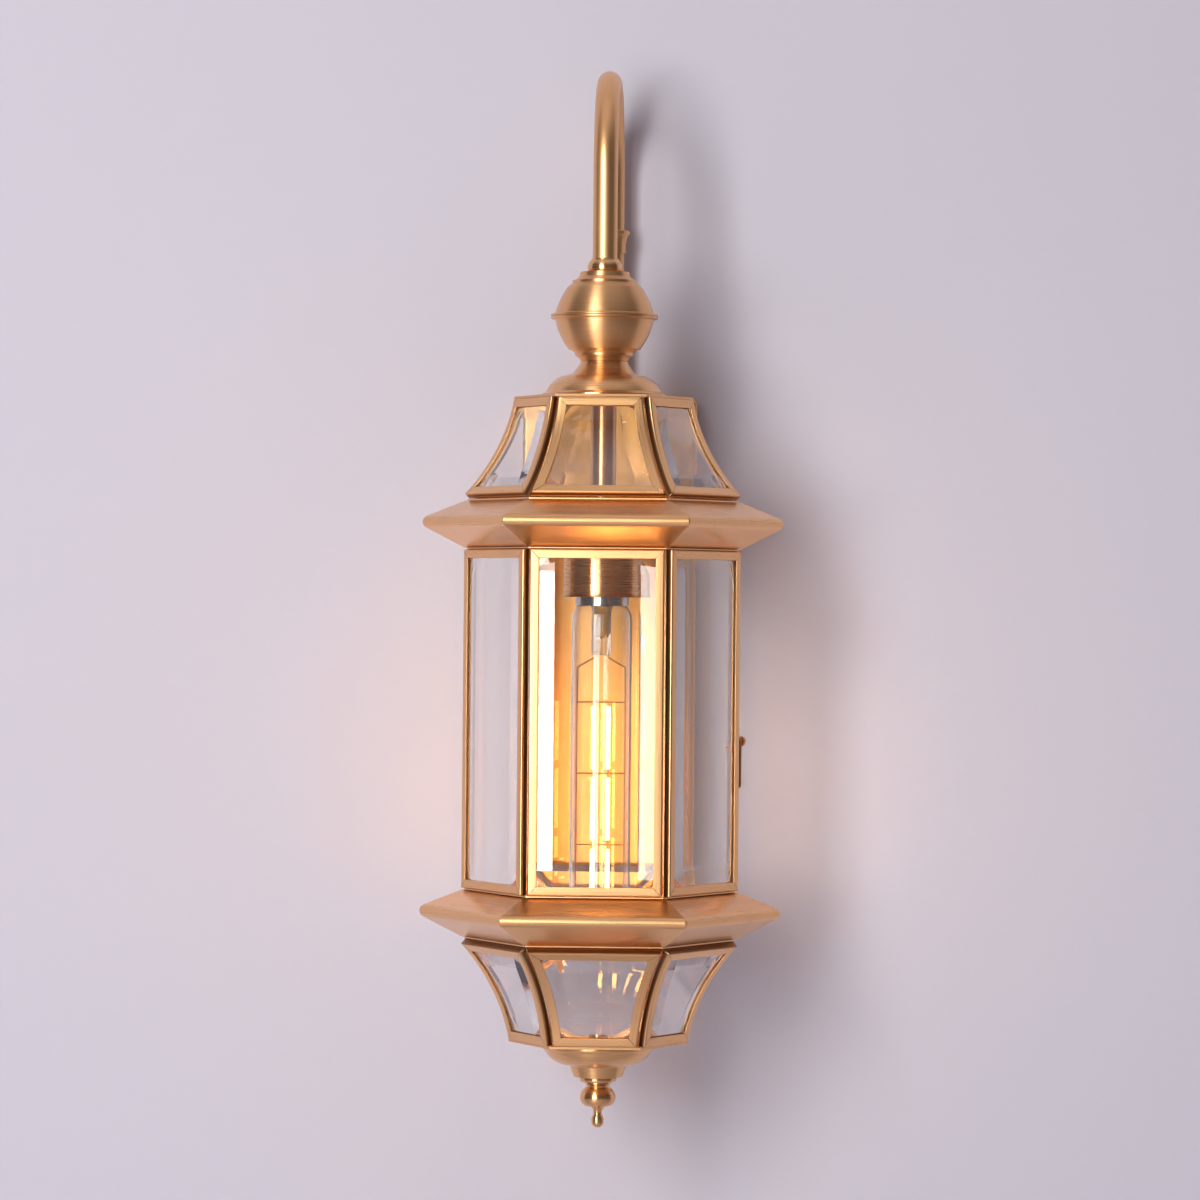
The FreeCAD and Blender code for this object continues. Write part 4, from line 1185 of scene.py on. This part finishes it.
@dataclass(frozen=True)
class SoftBox:
    """One large soft lamp."""

    name: str
    place: Tuple[float, float, float]
    width: float
    height: float
    power: float

    def build(self, aim: Vector) -> None:
        """Add the lamp.

        Args:
            aim: Point that it faces.
        """
        data = bpy.data.lights.new(self.name, "AREA")
        data.shape = "RECTANGLE"
        data.size = self.width
        data.size_y = self.height
        data.energy = self.power
        lamp = bpy.data.objects.new(self.name, data)
        bpy.context.scene.collection.objects.link(lamp)
        lamp.location = self.place
        lamp.rotation_euler = (aim - Vector(self.place)).to_track_quat("-Z", "Y").to_euler()


@dataclass
class Studio:
    """Soft boxes and the room's own light, brighter on the left and above."""

    lamps: Tuple[SoftBox, ...] = (
        SoftBox("key", (-0.92, -2.18, 0.42), width=0.44, height=1.5, power=32.0),
        SoftBox("strip", (-0.58, -2.30, 0.50), width=0.32, height=1.8, power=9.5),
        SoftBox("front", (-0.375, -2.47, 0.05), width=0.25, height=1.0, power=5.5))
    left: Colour = (0.10, 0.094, 0.104)
    right: Colour = (0.075, 0.070, 0.078)
    above: Colour = (0.70, 0.66, 0.72)
    sides_range: Range = (-0.8, 0.8)
    above_range: Range = (0.55, 0.9)

    def build(self) -> None:
        """Add the lamps and the world."""
        for lamp in self.lamps:
            lamp.build(Vector((AXIS.x, AXIS.y, 0.0)))
        world = bpy.data.worlds.new("studio")
        bpy.context.scene.world = world
        world.use_nodes = True
        maker = ShaderMaker(world.node_tree)
        x, _, z = maker.split(maker.add("ShaderNodeTexCoord", output="Generated"))
        sides = maker.blend(maker.remap(x, *self.sides_range, 0.0, 1.0),
                            opaque(self.left), opaque(self.right))
        whole = maker.blend(maker.remap(z, *self.above_range, 0.0, 1.0), sides, opaque(self.above))
        room = maker.add("ShaderNodeBackground", None, {"Color": whole})
        maker.show(room, "ShaderNodeOutputWorld")


# The whole lantern

@dataclass
class SolidFinishes:
    """Finishes of the solids, of which most are shown as they are."""

    rings: bpy.types.Material
    lengths: bpy.types.Material
    open_shade: Colour = (0.98, 0.98, 0.98)
    bent_shade: Colour = (0.76, 0.76, 0.76)
    lamp_index: float = 1.2
    front_index: float = 1.5
    bent_index: float = 1.32
    bent_front_index: float = 1.45
    turned: Tuple[str, ...] = ("socket_cup", "bell_cap", "arm_collar", "base_dish", "finial")

    def build(self) -> None:
        """Give every solid its finish."""
        special = self.special()
        pane = ClearGlass("pane_glass").material()
        bent_pane = ClearGlass("bent_glass", shade=self.bent_shade, index=self.bent_index).material()
        for name, node in NODES.items():
            if name in special:
                finish = special[name]
            elif "glass" in name:
                finish = pane if "body" in name or "door" in name else bent_pane
            else:
                finish = self.lengths if "frame" in name else self.rings
            dress(node, finish)

    def special(self) -> Dict[str, bpy.types.Material]:
        """Finishes of the solids that differ from the rest.

        Returns:
            The finishes by the solids' names.
        """
        # The box's brass is warmer and less blue than the rest: painted warm light standing in for the
        # lamp's glow on it.
        lamp_warmed_box_brass = BrushedBrass(Grain.UPRIGHT, dark=(0.80, 0.425, 0.13), light=(0.88, 0.485, 0.16),
                                 smooth=0.40, rough=0.50, lacquer=0.05)
        zinc = PlainFinish("zinc_steel", (0.55, 0.55, 0.54), metallic=1.0, roughness=0.45).material()
        ceramic = PlainFinish("white_ceramic", (0.80, 0.78, 0.74), metallic=0.0, roughness=0.25)
        cap_metal = PlainFinish("cap_metal", (0.62, 0.60, 0.58), metallic=1.0, roughness=0.16)
        bright = BrushedBrass(Grain.RINGS, smooth=0.24, rough=0.34).material()
        bent_front = ClearGlass("bent_front_glass", shade=self.bent_shade,
                                index=self.bent_front_index).material()
        finishes = {
            "arm_tube": BrushedBrass(Grain.TUBE, smooth=0.36, rough=0.44).material(),
            "back_box": lamp_warmed_box_brass.material(),
            "bulb_glass": ClearGlass("lamp_glass", shade=self.open_shade, index=self.lamp_index).material(),
            "body_glass_rear": ClearGlass("rear_glass", shade=self.open_shade).material(),
            "body_glass_front": ClearGlass("front_glass", index=self.front_index).material(),
            "roof_glass_front": bent_front,
            "base_glass_front": bent_front,
            "wall_strap": zinc,
            "box_screws": zinc,
            "lampholder": ceramic.material(),
            "bulb_cap": cap_metal.material()}
        finishes.update(dict.fromkeys(self.turned, bright))
        return finishes


def main() -> None:
    """Dress the lantern and set up its stage, lamps and camera."""
    logging.basicConfig(level=logging.INFO, format="%(name)s: %(message)s")
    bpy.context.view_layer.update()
    bpy.context.scene.view_settings.view_transform = "Standard"
    rings = BrushedBrass(Grain.RINGS, smooth=0.36, rough=0.46).material()
    lengths = BrushedBrass(Grain.LENGTHS).material()
    lead = PlainFinish("lead_wire", (0.36, 0.19, 0.07), metallic=1.0, roughness=0.40).material()
    SolidFinishes(rings, lengths).build()
    PanelFrames(lengths).build()
    for node in ("upper_cornice", "lower_cornice"):
        Cornice(node).build(lengths)
    LampWires(lead, WarmGlow().material()).build()
    Stage().build()
    Studio().build()
    PhotoCamera().build()


if __name__ == "__main__":
    main()
